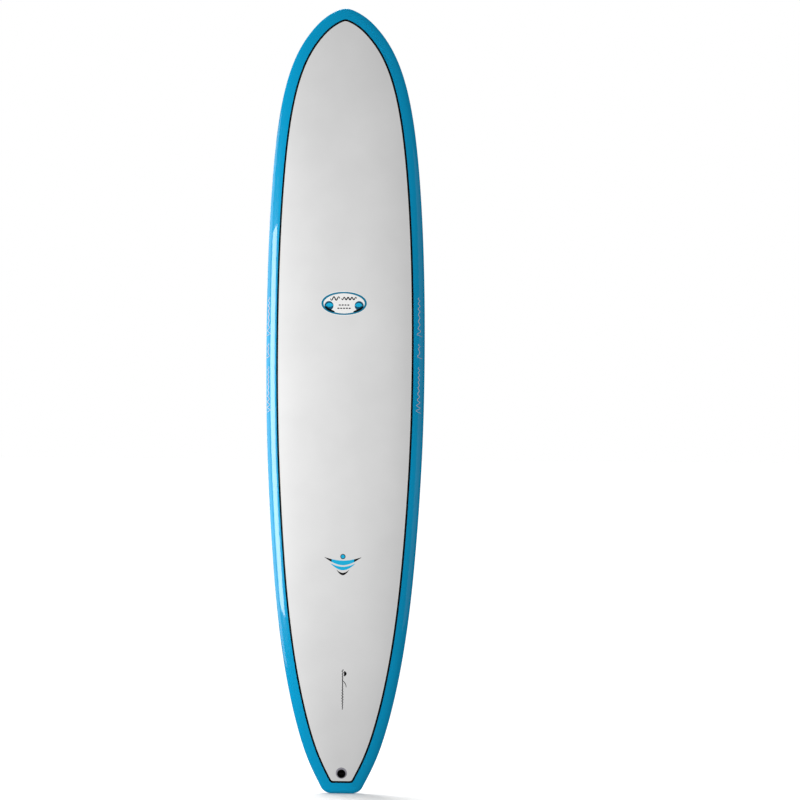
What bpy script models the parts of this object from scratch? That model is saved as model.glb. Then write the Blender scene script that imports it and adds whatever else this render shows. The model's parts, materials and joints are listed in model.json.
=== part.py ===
"""A 9 ft 6 in longboard of sandwich construction, as separate pieces.

Frame: metres. +Z runs from the tail to the nose, the deck faces -Y, the bottom faces +Y, and +X is the
rider's right. The origin is at the middle of the tail end, the lowest point, centred in width and depth.
Every surface is a function of two plan coordinates: x, across, and d, the distance from the nose tip.
"""

import math

import bmesh
import bpy
import numpy as np
from mathutils import Matrix, Vector

# --- Board dimensions -------------------------------------------------------------------------------------
LENGTH = 2.896
HALF_WIDTH = 0.2952
THICKNESS = 0.079
NOSE_THICKNESS = 0.015
TAIL_THICKNESS = 0.026
NOSE_FOIL = 2.8             # how late the thickness falls away towards the nose, and towards the tail
TAIL_FOIL = 3.2
APEX_SHARE = 0.40           # the widest line of the rail, as a share of the thickness above the bottom
LOW_POINT = 1.35            # distance from the nose to the lowest point of the rocker
NOSE_ROCKER = 0.125
NOSE_ROCKER_POWER = 2.4
TAIL_CURVE = 0.0344         # the tail rocker is this times distance squared, until it runs straight
STRAIGHT_FROM = 2.30        # the bottom is one flat plane from here to the tail, under all the fins
NOSE_ROUNDING = 0.030       # length over which the thickness rounds off at each end
TAIL_ROUNDING = 0.014
DECK_CROWN = 2.6            # exponent of the deck's crown
RAIL_BAND = 0.035           # width over which the bottom turns up into the rail
TAIL_RAIL_BAND = 0.024
TAIL_BAND_FROM = 1.90
TAIL_CORNER_RADIUS = 0.042
PINLINE_CORNER_RADIUS = 0.012
PINLINE_INSET = 0.0435
PINLINE_WIDTH = 0.0072

# Half-widths at the shaper's stations: (distance from the nose, half-width). The last one is where the
# tail's corner begins.
STATIONS = [
    (0.000, 0.0000), (0.010, 0.0375), (0.040, 0.0845), (0.080, 0.1242), (0.150, 0.1722),
    (0.305, 0.2290), (0.610, 0.2725), (1.000, 0.2922), (1.245, HALF_WIDTH), (1.600, 0.2898),
    (2.000, 0.2672), (2.400, 0.2214), (2.650, 0.1672), (2.800, 0.1142), (2.8714, 0.0782),
]

# --- Layers, as depths below the outer surface ------------------------------------------------------------
GAP = 0.0003                # between touching pieces
SKIN = 0.0010
SHEET = 0.0030
SHEET_TOP = SKIN + GAP
SHEET_FLOOR = SHEET_TOP + SHEET
CORE_TOP = SHEET_FLOOR + GAP
MARK_LIFT = 0.0005          # a printed mark's underside and face, above the outer surface
MARK_FACE = 0.0008

# --- Mesh fineness ----------------------------------------------------------------------------------------
SIDE_STEPS = 24             # along each side, from the nose to the tail's corner
CORNER_STEPS = 3
CROSS_POINTS = 5            # across the deck, between the two sides
RAIL_EDGE = PINLINE_INSET - PINLINE_WIDTH / 2 - GAP
PANEL_EDGE = PINLINE_INSET + PINLINE_WIDTH / 2 + GAP
DECK_INSETS = [0.0, 0.0010, 0.006, 0.018, RAIL_EDGE, PANEL_EDGE]
BOTTOM_INSETS = [0.0, 0.0010, 0.005, 0.013, TAIL_RAIL_BAND, RAIL_BAND]

# --- Centre fin box (local x across, y out of the bottom, z towards the nose) -----------------------------
CENTRE_BOX_AT = 2.5968      # distance from the nose to the middle of the box
BOX_LIP = (0.013, 0.264)    # width and length of the rim that shows in the bottom
BOX_SLOT = (0.009, 0.260)
BOX_MOUTH_LIP = (0.024, 0.018)
BOX_MOUTH = (0.020, 0.014)
BOX_GROOVE = (0.0145, 0.254)
BOX_GROOVE_Y = (-0.0115, -0.0065)
BOX_BODY = (0.026, 0.270)
BOX_FLOOR_Y = -0.0250
BOX_SLOT_FLOOR_Y = -0.0215
BOX_MOUTH_FLOOR_Y = BOX_GROOVE_Y[0]
BLOCK_SIZE = (0.060, 0.310)
BLOCK_FLOOR_Y = -0.0290

# --- Side fin boxes ---------------------------------------------------------------------------------------
SIDE_BOX_AT = 2.412
SIDE_BOX_X = 0.1755
SIDE_BODY = (0.032, 0.108)
SIDE_BODY_TOP_Y = -0.0022
SIDE_BODY_FLOOR_Y = -0.0170
SIDE_PAD_FLOOR_Y = -0.0230
SIDE_SLOT_WIDTH = 0.0075
SIDE_SLOT_FLOOR_Y = -0.0140
SIDE_LIP_RIM = 0.0015
SIDE_SLOTS = {"front": (0.0245, 0.047), "rear": (-0.0240, 0.036)}      # middle along z, and length
SCREW_PLACES = {"front": (-0.0115, 0.0150), "rear": (0.011, -0.0280)}   # outboard offset, and z
SCREW_TILT = math.radians(35)
SCREW_RADIUS = 0.0025
SCREW_LENGTH = 0.010
SCREW_SUNK = 0.0015         # depth of its outer end below the surface, along its own axis
SCREW_SOCKET = (0.00145, 0.0030)
SCREW_HOLE_RADIUS = SCREW_RADIUS + GAP
SCREW_HOLE_DEPTH = 0.0160
COLLAR_RADIUS = 0.0042

# --- Leash plug (local z out of the deck) -----------------------------------------------------------------
PLUG_AT = 2.822
CUP_RADIUS = 0.01575
CUP_BORE = 0.0130
CUP_DEPTH = 0.0180
CUP_FLOOR = 0.0030
RING_RADIUS = 0.0205
RING_DEPTH = 0.0009
RING_OFFSET = 0.0025        # of the ring's outside towards the nose
RING_WELL_FLOOR = -0.0025   # of the hole that the ring sits in
RIM_PROUD = 0.0003
BAR_RADIUS = 0.0022
BAR_LENGTH = 0.0300
BAR_SUNK = 0.0055
PLUG_BLOCK_RADIUS = 0.0300
PLUG_BLOCK_TOP = -0.0054
PLUG_BLOCK_FLOOR = -0.0220

ROUND_STEPS = 24

# --- Printed marks: middle x, middle d, width, length -----------------------------------------------------
DECK_BADGE = (0.0, 1.085, 0.167, 0.086)
BOTTOM_BADGE = (-0.021, 1.091, 0.173, 0.087)
DECK_EMBLEM = (0.0, 2.052, 0.139, 0.060)
BOTTOM_EMBLEM = (0.0, 2.068, 0.135, 0.060)
ROUND_MARK = (0.0, 2.389, 0.048, 0.048)
CAPSULE_MARK = (0.0, 2.441, 0.067, 0.019)
TAIL_MARK = (0.0, 2.8415, 0.070, 0.011)


# --- Shape of the board -----------------------------------------------------------------------------------
def natural_spline(knots, values):
    """Return the natural cubic spline through the knots, and its slope, as one function."""
    x = np.array(knots)
    y = np.array(values)
    count = len(x)
    matrix = np.eye(count)
    right = np.zeros(count)
    for i in range(1, count - 1):
        before = x[i] - x[i - 1]
        after = x[i + 1] - x[i]
        matrix[i, i - 1:i + 2] = [before, 2 * (before + after), after]
        right[i] = 6 * ((y[i + 1] - y[i]) / after - (y[i] - y[i - 1]) / before)
    bend = np.linalg.solve(matrix, right)

    def value_and_slope(q):
        i = int(np.clip(np.searchsorted(x, q) - 1, 0, count - 2))
        h = x[i + 1] - x[i]
        a = (x[i + 1] - q) / h
        b = (q - x[i]) / h
        value = a * y[i] + b * y[i + 1] + ((a**3 - a) * bend[i] + (b**3 - b) * bend[i + 1]) * h * h / 6
        slope = (y[i + 1] - y[i]) / h
        slope += ((3 * b * b - 1) * bend[i + 1] - (3 * a * a - 1) * bend[i]) * h / 6
        return float(value), float(slope)

    return value_and_slope


# The half-width grows as the square root of the distance near the round nose, so the spline runs over that.
SIDE_SPLINE = natural_spline([math.sqrt(d) for d, _ in STATIONS], [w for _, w in STATIONS])
SIDE_END = STATIONS[-1][0]


def side_point(d, inset):
    """Return the plan point (x, d) of the side at distance d, moved in by inset along the plan normal."""
    root = math.sqrt(d)
    width, slope = SIDE_SPLINE(root)
    normal = Vector((-2 * root, slope)).normalized()
    return Vector((width, d)) + inset * normal


def corner(inset):
    """Return the tail corner's centre, its radius, the side's tangent angle and the side's last d."""
    share = min(inset / PINLINE_INSET, 1.0)
    radius = TAIL_CORNER_RADIUS + share * (PINLINE_CORNER_RADIUS - TAIL_CORNER_RADIUS)
    root = math.sqrt(SIDE_END)
    normal = Vector((-2 * root, SIDE_SPLINE(root)[1])).normalized()
    along = Vector((normal.y, -normal.x))
    start = side_point(SIDE_END, inset + radius)
    centre_d = LENGTH - inset - radius
    reach = (centre_d - start.y) / along.y
    centre = start + reach * along
    angle = math.acos(-normal.y)
    return centre, radius, angle, SIDE_END + min(reach, 0.0) * along.y


OUTLINE_CORNER = corner(0.0)


def half_width(d):
    """Return the outline's half-width at distance d from the nose."""
    centre, radius, angle, _ = OUTLINE_CORNER
    tangent_d = centre.y + radius * math.cos(angle)
    if d >= tangent_d:
        return centre.x + math.sqrt(max(radius**2 - (d - centre.y) ** 2, 0.0))
    if d > SIDE_END:
        share = (d - SIDE_END) / (tangent_d - SIDE_END)
        return (1 - share) * STATIONS[-1][1] + share * (centre.x + radius * math.sin(angle))
    return SIDE_SPLINE(math.sqrt(max(d, 0.0)))[0]


def rocker(d):
    """Return how far the bottom lifts towards the deck side at distance d."""
    if d < LOW_POINT:
        return NOSE_ROCKER * ((LOW_POINT - d) / LOW_POINT) ** NOSE_ROCKER_POWER
    curved = min(d, STRAIGHT_FROM) - LOW_POINT
    straight = max(d - STRAIGHT_FROM, 0.0)
    return TAIL_CURVE * curved * (curved + 2 * straight)


def thickness(d):
    """Return the board's full thickness on the centreline at distance d."""
    if d < LOW_POINT:
        share = 1 - ((LOW_POINT - d) / LOW_POINT) ** NOSE_FOIL
        return NOSE_THICKNESS + (THICKNESS - NOSE_THICKNESS) * share
    share = 1 - ((d - LOW_POINT) / (LENGTH - LOW_POINT)) ** TAIL_FOIL
    return TAIL_THICKNESS + (THICKNESS - TAIL_THICKNESS) * share


def end_rounding(d):
    """Return 1 along the board, falling on an ellipse to 0 at the nose tip and at the tail end."""
    nose = min(max(d, 0.0) / NOSE_ROUNDING, 1.0)
    tail = min(max(LENGTH - d, 0.0) / TAIL_ROUNDING, 1.0)
    return math.sqrt((1 - (1 - nose) ** 2) * (1 - (1 - tail) ** 2))


def fullness(x, d, side):
    """Return the share of the height above (deck) or below (bottom) the apex line, 0 at the outline."""
    width = half_width(d)
    if width < 1e-6:
        return 0.0
    if side == "deck":
        across = math.sqrt(max(1 - min(abs(x) / width, 1.0) ** DECK_CROWN, 0.0))
    else:
        narrowing = min(max((d - TAIL_BAND_FROM) / (STRAIGHT_FROM - TAIL_BAND_FROM), 0.0), 1.0)
        band = RAIL_BAND + narrowing * (TAIL_RAIL_BAND - RAIL_BAND)
        turn = min(max(width - abs(x), 0.0) / min(band, 0.9 * width), 1.0)
        across = math.sqrt(1 - (1 - turn) ** 2)
    return across * end_rounding(d)


def raw_height(x, d, side, depth):
    """Return y on one face, before the board is centred in Y."""
    apex = -rocker(d) - APEX_SHARE * thickness(d)
    if side == "deck":
        return apex - ((1 - APEX_SHARE) * thickness(d) - depth) * fullness(x, d, side)
    return apex + (APEX_SHARE * thickness(d) - depth) * fullness(x, d, side)


def centring_shift():
    """Return half of the depth from the bottom's lowest plane to the furthest point of the nose."""
    reach = min(raw_height(0.0, NOSE_ROUNDING * i / 100, "deck", 0.0) for i in range(1, 400))
    return -reach / 2


BOTTOM_Y = centring_shift()


def board_point(x, d, side, depth):
    """Return the 3-D point under plan point (x, d) on one face, on the layer that lies depth inside it."""
    middle = LENGTH / 2
    inner_x = x * (1 - depth / HALF_WIDTH)
    inner_d = middle + (d - middle) * (1 - 2 * depth / LENGTH)
    return Vector((inner_x, BOTTOM_Y + raw_height(x, d, side, depth), LENGTH - inner_d))


# --- Meshes -----------------------------------------------------------------------------------------------
def plan_loop(inset):
    """Return the plan loop at an inset: nose tip, right side, tail corner, tail end, then the left side."""
    centre, radius, angle, side_end = corner(inset)
    right = []
    for i in range(1, SIDE_STEPS + 1):
        d = side_end * (1 - math.cos(math.pi * i / SIDE_STEPS)) / 2
        right.append(side_point(d, inset))
    for i in range(CORNER_STEPS + 1):
        turn = angle * (1 - i / CORNER_STEPS)
        right.append(centre + radius * Vector((math.sin(turn), math.cos(turn))))
    if (right[SIDE_STEPS] - right[SIDE_STEPS - 1]).length < 1e-4:
        del right[SIDE_STEPS - 1]
        right.insert(SIDE_STEPS - 1, (right[SIDE_STEPS - 2] + right[SIDE_STEPS - 1]) / 2)
    end = right[-1]
    flat = [Vector((end.x * (1 - 2 * j / (CROSS_POINTS + 1)), end.y)) for j in range(1, CROSS_POINTS + 1)]
    left = [Vector((-p.x, p.y)) for p in reversed(right)]
    return [Vector((0.0, inset))] + right + flat + left


def add_ring(bm, inset, side, depth, lift=0.0):
    """Add one ring of vertices round the board, and return them."""
    points = [board_point(p.x, p.y, side, depth) for p in plan_loop(inset)]
    return [bm.verts.new(p + Vector((0.0, lift, 0.0))) for p in points]


def bridge(bm, ring_a, ring_b):
    """Join two rings of the same length with four-sided faces."""
    count = len(ring_a)
    for i in range(count):
        j = (i + 1) % count
        bm.faces.new((ring_a[i], ring_a[j], ring_b[j], ring_b[i]))


def bridge_with_triangles(bm, outer, inner):
    """Join two rings with triangles. Every layer splits its faces alike, so that they stay apart."""
    count = len(outer)
    for i in range(count):
        j = (i + 1) % count
        bm.faces.new((outer[i], outer[j], inner[j]))
        bm.faces.new((outer[i], inner[j], inner[i]))


def cap(bm, ring, inset, side, depth):
    """Close a ring with rows across the board. The deck's rows are curved, the bottom's are straight."""
    sides = (len(ring) - 1 - CROSS_POINTS) // 2
    plan = plan_loop(inset)
    inner = range(1, CROSS_POINTS + 1)
    rows = []
    for i in range(1, sides + 1):
        row = [ring[i], ring[-i]]
        if i == sides:
            row[1:1] = ring[sides + 1:sides + 1 + CROSS_POINTS]
        elif side == "deck":
            across = [plan[i].x * (1 - 2 * j / (CROSS_POINTS + 1)) for j in inner]
            row[1:1] = [bm.verts.new(board_point(x, plan[i].y, side, depth)) for x in across]
        rows.append(row)
    for a, b in zip(rows[0], rows[0][1:]):
        bm.faces.new((ring[0], a, b))
    for upper, lower in zip(rows, rows[1:]):
        if len(upper) == len(lower):
            for j in range(len(upper) - 1):
                bm.faces.new((upper[j], lower[j], lower[j + 1]))
                bm.faces.new((upper[j], lower[j + 1], upper[j + 1]))
        else:
            bm.faces.new([upper[0]] + lower + [upper[-1]])


def finish_mesh(bm, name, material, parent=None, smooth_degrees=30):
    """Turn a bmesh into an object with outward faces."""
    bmesh.ops.recalc_face_normals(bm, faces=bm.faces)
    mesh = bpy.data.meshes.new(name)
    bm.to_mesh(mesh)
    bm.free()
    mesh.shade_smooth()
    mesh.set_sharp_from_angle(angle=math.radians(smooth_degrees))
    if material:
        mesh.materials.append(material)
    piece = bpy.data.objects.new(name, mesh)
    bpy.context.collection.objects.link(piece)
    piece.parent = parent
    return piece


def lofted(name, rings, material, caps=True):
    """Skin a run of rings, each (inset, side, depth, lift), closed by two caps or joined end to end."""
    bm = bmesh.new()
    loops = [add_ring(bm, *ring) for ring in rings]
    for i in range(len(rings) - 1):
        pair = (loops[i], loops[i + 1])
        outer, inner = pair if rings[i][0] <= rings[i + 1][0] else pair[::-1]
        bridge_with_triangles(bm, outer, inner)
    if caps:
        cap(bm, loops[0], *rings[0][:3])
        cap(bm, loops[-1], *rings[-1][:3])
    else:
        bridge(bm, loops[-1], loops[0])
    return finish_mesh(bm, name, material)


def face_rings(side, depth, lift=0.0):
    """Return the rings of one face, from the outline inwards. The lift moves only the outline's ring."""
    insets = DECK_INSETS if side == "deck" else BOTTOM_INSETS
    return [(inset, side, depth, lift if inset == 0.0 else 0.0) for inset in insets]


def rounded_outline(width, length, radius, steps=3):
    """Return a rounded rectangle's points (x, z), anticlockwise."""
    points = []
    for quarter in range(4):
        sx = 1 if quarter in (0, 3) else -1
        sz = 1 if quarter in (0, 1) else -1
        centre = Vector((sx * (width / 2 - radius), sz * (length / 2 - radius)))
        for i in range(steps + 1):
            angle = math.pi / 2 * (quarter + i / steps)
            points.append(centre + radius * Vector((math.cos(angle), math.sin(angle))))
    merged = [p for p, q in zip(points, points[1:] + points[:1]) if (p - q).length > 1e-6]
    return merged


def prism(name, size, y_low, y_high, material=None, parent=None, grow=0.0, at=(0.0, 0.0), radius=None):
    """Make a rounded bar of width and length size, from y_low to y_high, grown sideways by grow."""
    width = size[0] + 2 * grow
    length = size[1] + 2 * grow
    corner_radius = min(width, length) / 2 if radius is None else radius + grow
    bm = bmesh.new()
    outline = [Vector((at[0] + p.x, 0.0, at[1] + p.y)) for p in rounded_outline(width, length, corner_radius)]
    lower = [bm.verts.new((p.x, y_low, p.z)) for p in outline]
    upper = [bm.verts.new((p.x, y_high, p.z)) for p in outline]
    bridge(bm, lower, upper)
    bm.faces.new(lower)
    bm.faces.new(upper)
    return finish_mesh(bm, name, material, parent)


def turned(name, profile, material=None, parent=None, steps=ROUND_STEPS):
    """Turn a closed profile of (radius, z) points round the local Z axis."""
    bm = bmesh.new()
    rings = []
    for r, z in profile:
        if r == 0.0:
            rings.append([bm.verts.new((0.0, 0.0, z))])
            continue
        turns = [2 * math.pi * i / steps for i in range(steps)]
        rings.append([bm.verts.new((r * math.cos(t), r * math.sin(t), z)) for t in turns])
    pairs = list(zip(rings, rings[1:]))
    if len(rings[0]) > 1:
        pairs.append((rings[-1], rings[0]))
    for a, b in pairs:
        if len(a) == 1 or len(b) == 1:
            tip, ring = (a[0], b) if len(a) == 1 else (b[0], a)
            for i in range(steps):
                bm.faces.new((tip, ring[i], ring[(i + 1) % steps]))
        else:
            bridge(bm, a, b)
    return finish_mesh(bm, name, material, parent)


def printed_mark(name, side, columns, material, rows=2):
    """Make a thin printed mark from columns (x, first d, last d), lying just above one face."""
    bm = bmesh.new()

    def grid(depth):
        return [
            [bm.verts.new(board_point(x, low + (high - low) * j / rows, side, depth)) for j in range(rows + 1)]
            for x, low, high in columns
        ]

    face = grid(-MARK_FACE)
    under = grid(-MARK_LIFT)
    for layer in (face, under):
        for a, b in zip(layer, layer[1:]):
            for j in range(rows):
                bm.faces.new((a[j], b[j], b[j + 1], a[j + 1]))
    rim_face = face[0] + [c[-1] for c in face[1:]] + face[-1][-2::-1] + [c[0] for c in face[-2:0:-1]]
    rim_under = under[0] + [c[-1] for c in under[1:]] + under[-1][-2::-1] + [c[0] for c in under[-2:0:-1]]
    bridge(bm, rim_face, rim_under)
    bmesh.ops.remove_doubles(bm, verts=bm.verts, dist=1e-6)
    return finish_mesh(bm, name, material)


def oval_columns(mark, steps=12):
    """Return the columns of an ellipse, closer together at its two ends."""
    x, d, width, length = mark
    columns = []
    for i in range(steps + 1):
        angle = math.pi * i / steps
        half = length / 2 * math.sin(angle)
        columns.append((x - width / 2 * math.cos(angle), d - half, d + half))
    return columns


def bar_columns(mark, steps=4):
    """Return the columns of a plain rectangular bar."""
    x, d, width, length = mark
    return [(x - width / 2 + width * i / steps, d - length / 2, d + length / 2) for i in range(steps + 1)]


def crescent_columns(mark, steps=12):
    """Return the columns of a crescent whose tips point to the nose."""
    x, d, width, length = mark
    columns = []
    for i in range(steps + 1):
        across = 2 * i / steps - 1
        arc = 1 - across**2
        columns.append((x + across * width / 2, d - length / 2 + length * 0.55 * arc, d - length / 2 + length * arc))
    return columns


# --- Helpers for objects ----------------------------------------------------------------------------------
def material(name, colour, roughness, metallic=0.0):
    """Make a Principled BSDF material."""
    result = bpy.data.materials.new(name)
    result.use_nodes = True
    shader = result.node_tree.nodes["Principled BSDF"]
    shader.inputs["Base Color"].default_value = (*colour, 1.0)
    shader.inputs["Roughness"].default_value = roughness
    shader.inputs["Metallic"].default_value = metallic
    return result


def as_tool(piece):
    """Mark an object as a construction guide that is not part of the board."""
    piece.hide_render = True
    piece.display_type = "WIRE"
    return piece


def combine(piece, tool, operation):
    """Add an exact Boolean to a piece."""
    step = piece.modifiers.new(tool.name, "BOOLEAN")
    step.operation = operation
    step.solver = "EXACT"
    step.object = as_tool(tool)


def cut(piece, *tools):
    """Take tools away from a piece."""
    for tool in tools:
        combine(piece, tool, "DIFFERENCE")


def join(piece, *tools):
    """Add tools to a piece."""
    for tool in tools:
        combine(piece, tool, "UNION")


def frame_on_bottom(name, x, d):
    """Make an empty on the flat part of the bottom: y points out of it and z towards the nose."""
    slope = rocker(d + 0.01) - rocker(d)
    frame = bpy.data.objects.new(name, None)
    frame.location = (x, BOTTOM_Y - rocker(d), LENGTH - d)
    frame.rotation_euler = (-math.atan2(slope, 0.01), 0.0, 0.0)
    bpy.context.collection.objects.link(frame)
    return frame


def frame_on_deck(name, d):
    """Make an empty on the deck's centreline: z points out of it."""
    here = board_point(0.0, d, "deck", 0.0)
    along = board_point(0.0, d - 0.01, "deck", 0.0) - board_point(0.0, d + 0.01, "deck", 0.0)
    frame = bpy.data.objects.new(name, None)
    frame.location = here
    frame.rotation_euler = (math.pi / 2 - math.atan2(along.y, along.z), 0.0, 0.0)
    bpy.context.collection.objects.link(frame)
    return frame


# --- Sub-parts --------------------------------------------------------------------------------------------
def make_hull(materials):
    """Make the core, the two sandwich sheets, the two skins and the pinline."""
    pieces = {}
    pieces["core"] = lofted(
        "foam_core",
        face_rings("bottom", CORE_TOP)[::-1] + face_rings("deck", CORE_TOP)[1:],
        materials["core"],
    )
    for side, lift in (("deck", -GAP / 2), ("bottom", GAP / 2)):
        pieces[side + "_sheet"] = lofted(
            side + "_foam_sheet",
            face_rings(side, SHEET_FLOOR, lift)[::-1] + face_rings(side, SHEET_TOP, lift),
            materials["sheet"],
        )
    inside = face_rings("bottom", SKIN)[::-1] + face_rings("deck", SKIN)[1:-1]
    outside = face_rings("deck", 0.0)[-2::-1] + face_rings("bottom", 0.0)[1:]
    pieces["bottom_skin"] = lofted("bottom_rail_skin", inside + outside, materials["blue"])
    line_out = RAIL_EDGE + GAP
    line_in = PANEL_EDGE - GAP
    pieces["pinline"] = lofted(
        "pinline",
        [(line_out, "deck", 0.0), (line_in, "deck", 0.0), (line_in, "deck", SKIN), (line_out, "deck", SKIN)],
        materials["black"],
        caps=False,
    )
    pieces["deck_skin"] = lofted(
        "deck_skin",
        [(PANEL_EDGE, "deck", SKIN), (PANEL_EDGE, "deck", 0.0)],
        materials["deck"],
    )
    return pieces


def make_centre_fin_box(hull, materials):
    """Make the long fin box, with its slot and grooves, and the block that it is bedded in."""
    frame = frame_on_bottom("centre_fin_frame", 0.0, CENTRE_BOX_AT)
    top = -SHEET_TOP
    over = 0.002

    box = prism("centre_fin_box", BOX_BODY, BOX_FLOOR_Y, top, materials["box"], frame, radius=0.006)
    join(
        box,
        prism("tool_centre_lip", BOX_LIP, top - over, 0.0, parent=frame),
        prism("tool_centre_mouth_lip", BOX_MOUTH_LIP, top - over, 0.0, parent=frame, radius=0.004),
    )
    cut(
        box,
        prism("tool_centre_slot", BOX_SLOT, BOX_SLOT_FLOOR_Y, over, parent=frame),
        prism("tool_centre_groove", BOX_GROOVE, *BOX_GROOVE_Y, parent=frame, radius=0.003),
        prism("tool_centre_mouth", BOX_MOUTH, BOX_MOUTH_FLOOR_Y, over, parent=frame, radius=0.003),
    )
    block = prism("centre_fin_box_block", BLOCK_SIZE, BLOCK_FLOOR_Y, top, materials["block"], frame, radius=0.008)
    cut(block, prism("tool_centre_pocket", BOX_BODY, BOX_FLOOR_Y - GAP, over, parent=frame, grow=GAP, radius=0.006))

    well = prism("tool_centre_well", BLOCK_SIZE, BLOCK_FLOOR_Y - GAP, over, parent=frame, grow=GAP, radius=0.008)
    cut(hull["core"], well)
    cut(hull["bottom_sheet"], well)
    cut(
        hull["bottom_skin"],
        prism("tool_centre_window", BOX_LIP, top - over, over, parent=frame, grow=GAP),
        prism("tool_centre_mouth_window", BOX_MOUTH_LIP, top - over, over, parent=frame, grow=GAP, radius=0.004),
    )


def make_grub_screw(side_name, place, outboard, frame, materials):
    """Make one grub screw. Its origin is on its own axis, where that axis meets the bottom surface."""
    offset, z = SCREW_PLACES[place]
    away = math.copysign(1.0, offset) * outboard
    name = "grub_screw_" + side_name + "_" + place
    profile = [
        (0.0, -SCREW_SUNK - SCREW_LENGTH),
        (SCREW_RADIUS * 0.55, -SCREW_SUNK - SCREW_LENGTH),
        (SCREW_RADIUS, -SCREW_SUNK - SCREW_LENGTH + 0.0012),
        (SCREW_RADIUS, -SCREW_SUNK - 0.0004),
        (SCREW_RADIUS - 0.0004, -SCREW_SUNK),
        (0.0, -SCREW_SUNK),
    ]
    screw = turned(name, profile, materials["steel"], frame, steps=16)
    screw.location = (offset * outboard, 0.0, z)
    axis = Vector((away * math.sin(SCREW_TILT), math.cos(SCREW_TILT), 0.0))
    screw.rotation_euler = axis.to_track_quat("Z", "Y").to_euler()
    radius, depth = SCREW_SOCKET
    socket = turned(
        "tool_" + name,
        [(0.0, -SCREW_SUNK - depth), (radius, -SCREW_SUNK - depth), (radius, 0.001), (0.0, 0.001)],
        parent=frame,
        steps=6,
    )
    hole = turned(
        "tool_hole_" + name,
        [(0.0, -SCREW_HOLE_DEPTH), (SCREW_HOLE_RADIUS, -SCREW_HOLE_DEPTH), (SCREW_HOLE_RADIUS, 0.004), (0.0, 0.004)],
        parent=frame,
        steps=20,
    )
    for tool in (socket, hole):
        tool.location = screw.location
        tool.rotation_euler = screw.rotation_euler
    cut(screw, socket)
    return hole


def make_side_fin_box(side_name, outboard, hull, materials):
    """Make one side fin box with two slots, its pad and its two grub screws."""
    frame = frame_on_bottom(side_name + "_fin_frame", outboard * SIDE_BOX_X, SIDE_BOX_AT)
    over = 0.002
    box = prism(side_name + "_fin_box", SIDE_BODY, SIDE_BODY_FLOOR_Y, SIDE_BODY_TOP_Y, materials["box"], frame)
    for place, (z, length) in SIDE_SLOTS.items():
        label = side_name + "_" + place
        slot = (SIDE_SLOT_WIDTH, length)
        lip_low = SIDE_BODY_TOP_Y - over
        join(box, prism("tool_lip_" + label, slot, lip_low, 0.0, parent=frame, grow=SIDE_LIP_RIM, at=(0.0, z)))
        cut(box, prism("tool_slot_" + label, slot, SIDE_SLOT_FLOOR_Y, over, parent=frame, at=(0.0, z)))
        window_grow = SIDE_LIP_RIM + GAP
        window = prism("tool_window_" + label, slot, lip_low, over, parent=frame, grow=window_grow, at=(0.0, z))
        cut(hull["bottom_skin"], window)

        offset, screw_z = SCREW_PLACES[place]
        collar_at = (offset * outboard, screw_z)
        collar_size = (2 * COLLAR_RADIUS, 2 * COLLAR_RADIUS)
        join(box, prism("tool_collar_" + label, collar_size, lip_low, 0.0, parent=frame, at=collar_at))
        port = prism("tool_port_" + label, collar_size, lip_low, over, parent=frame, grow=GAP, at=collar_at)
        cut(hull["bottom_skin"], port)
        cut(box, make_grub_screw(side_name, place, outboard, frame, materials))

    pad_top = SIDE_BODY_FLOOR_Y - GAP
    prism(side_name + "_fin_box_pad", SIDE_BODY, SIDE_PAD_FLOOR_Y, pad_top, materials["block"], frame)
    well = prism("tool_well_" + side_name, SIDE_BODY, SIDE_PAD_FLOOR_Y - GAP, over, parent=frame, grow=GAP)
    cut(hull["core"], well)
    cut(hull["bottom_sheet"], well)


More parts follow.
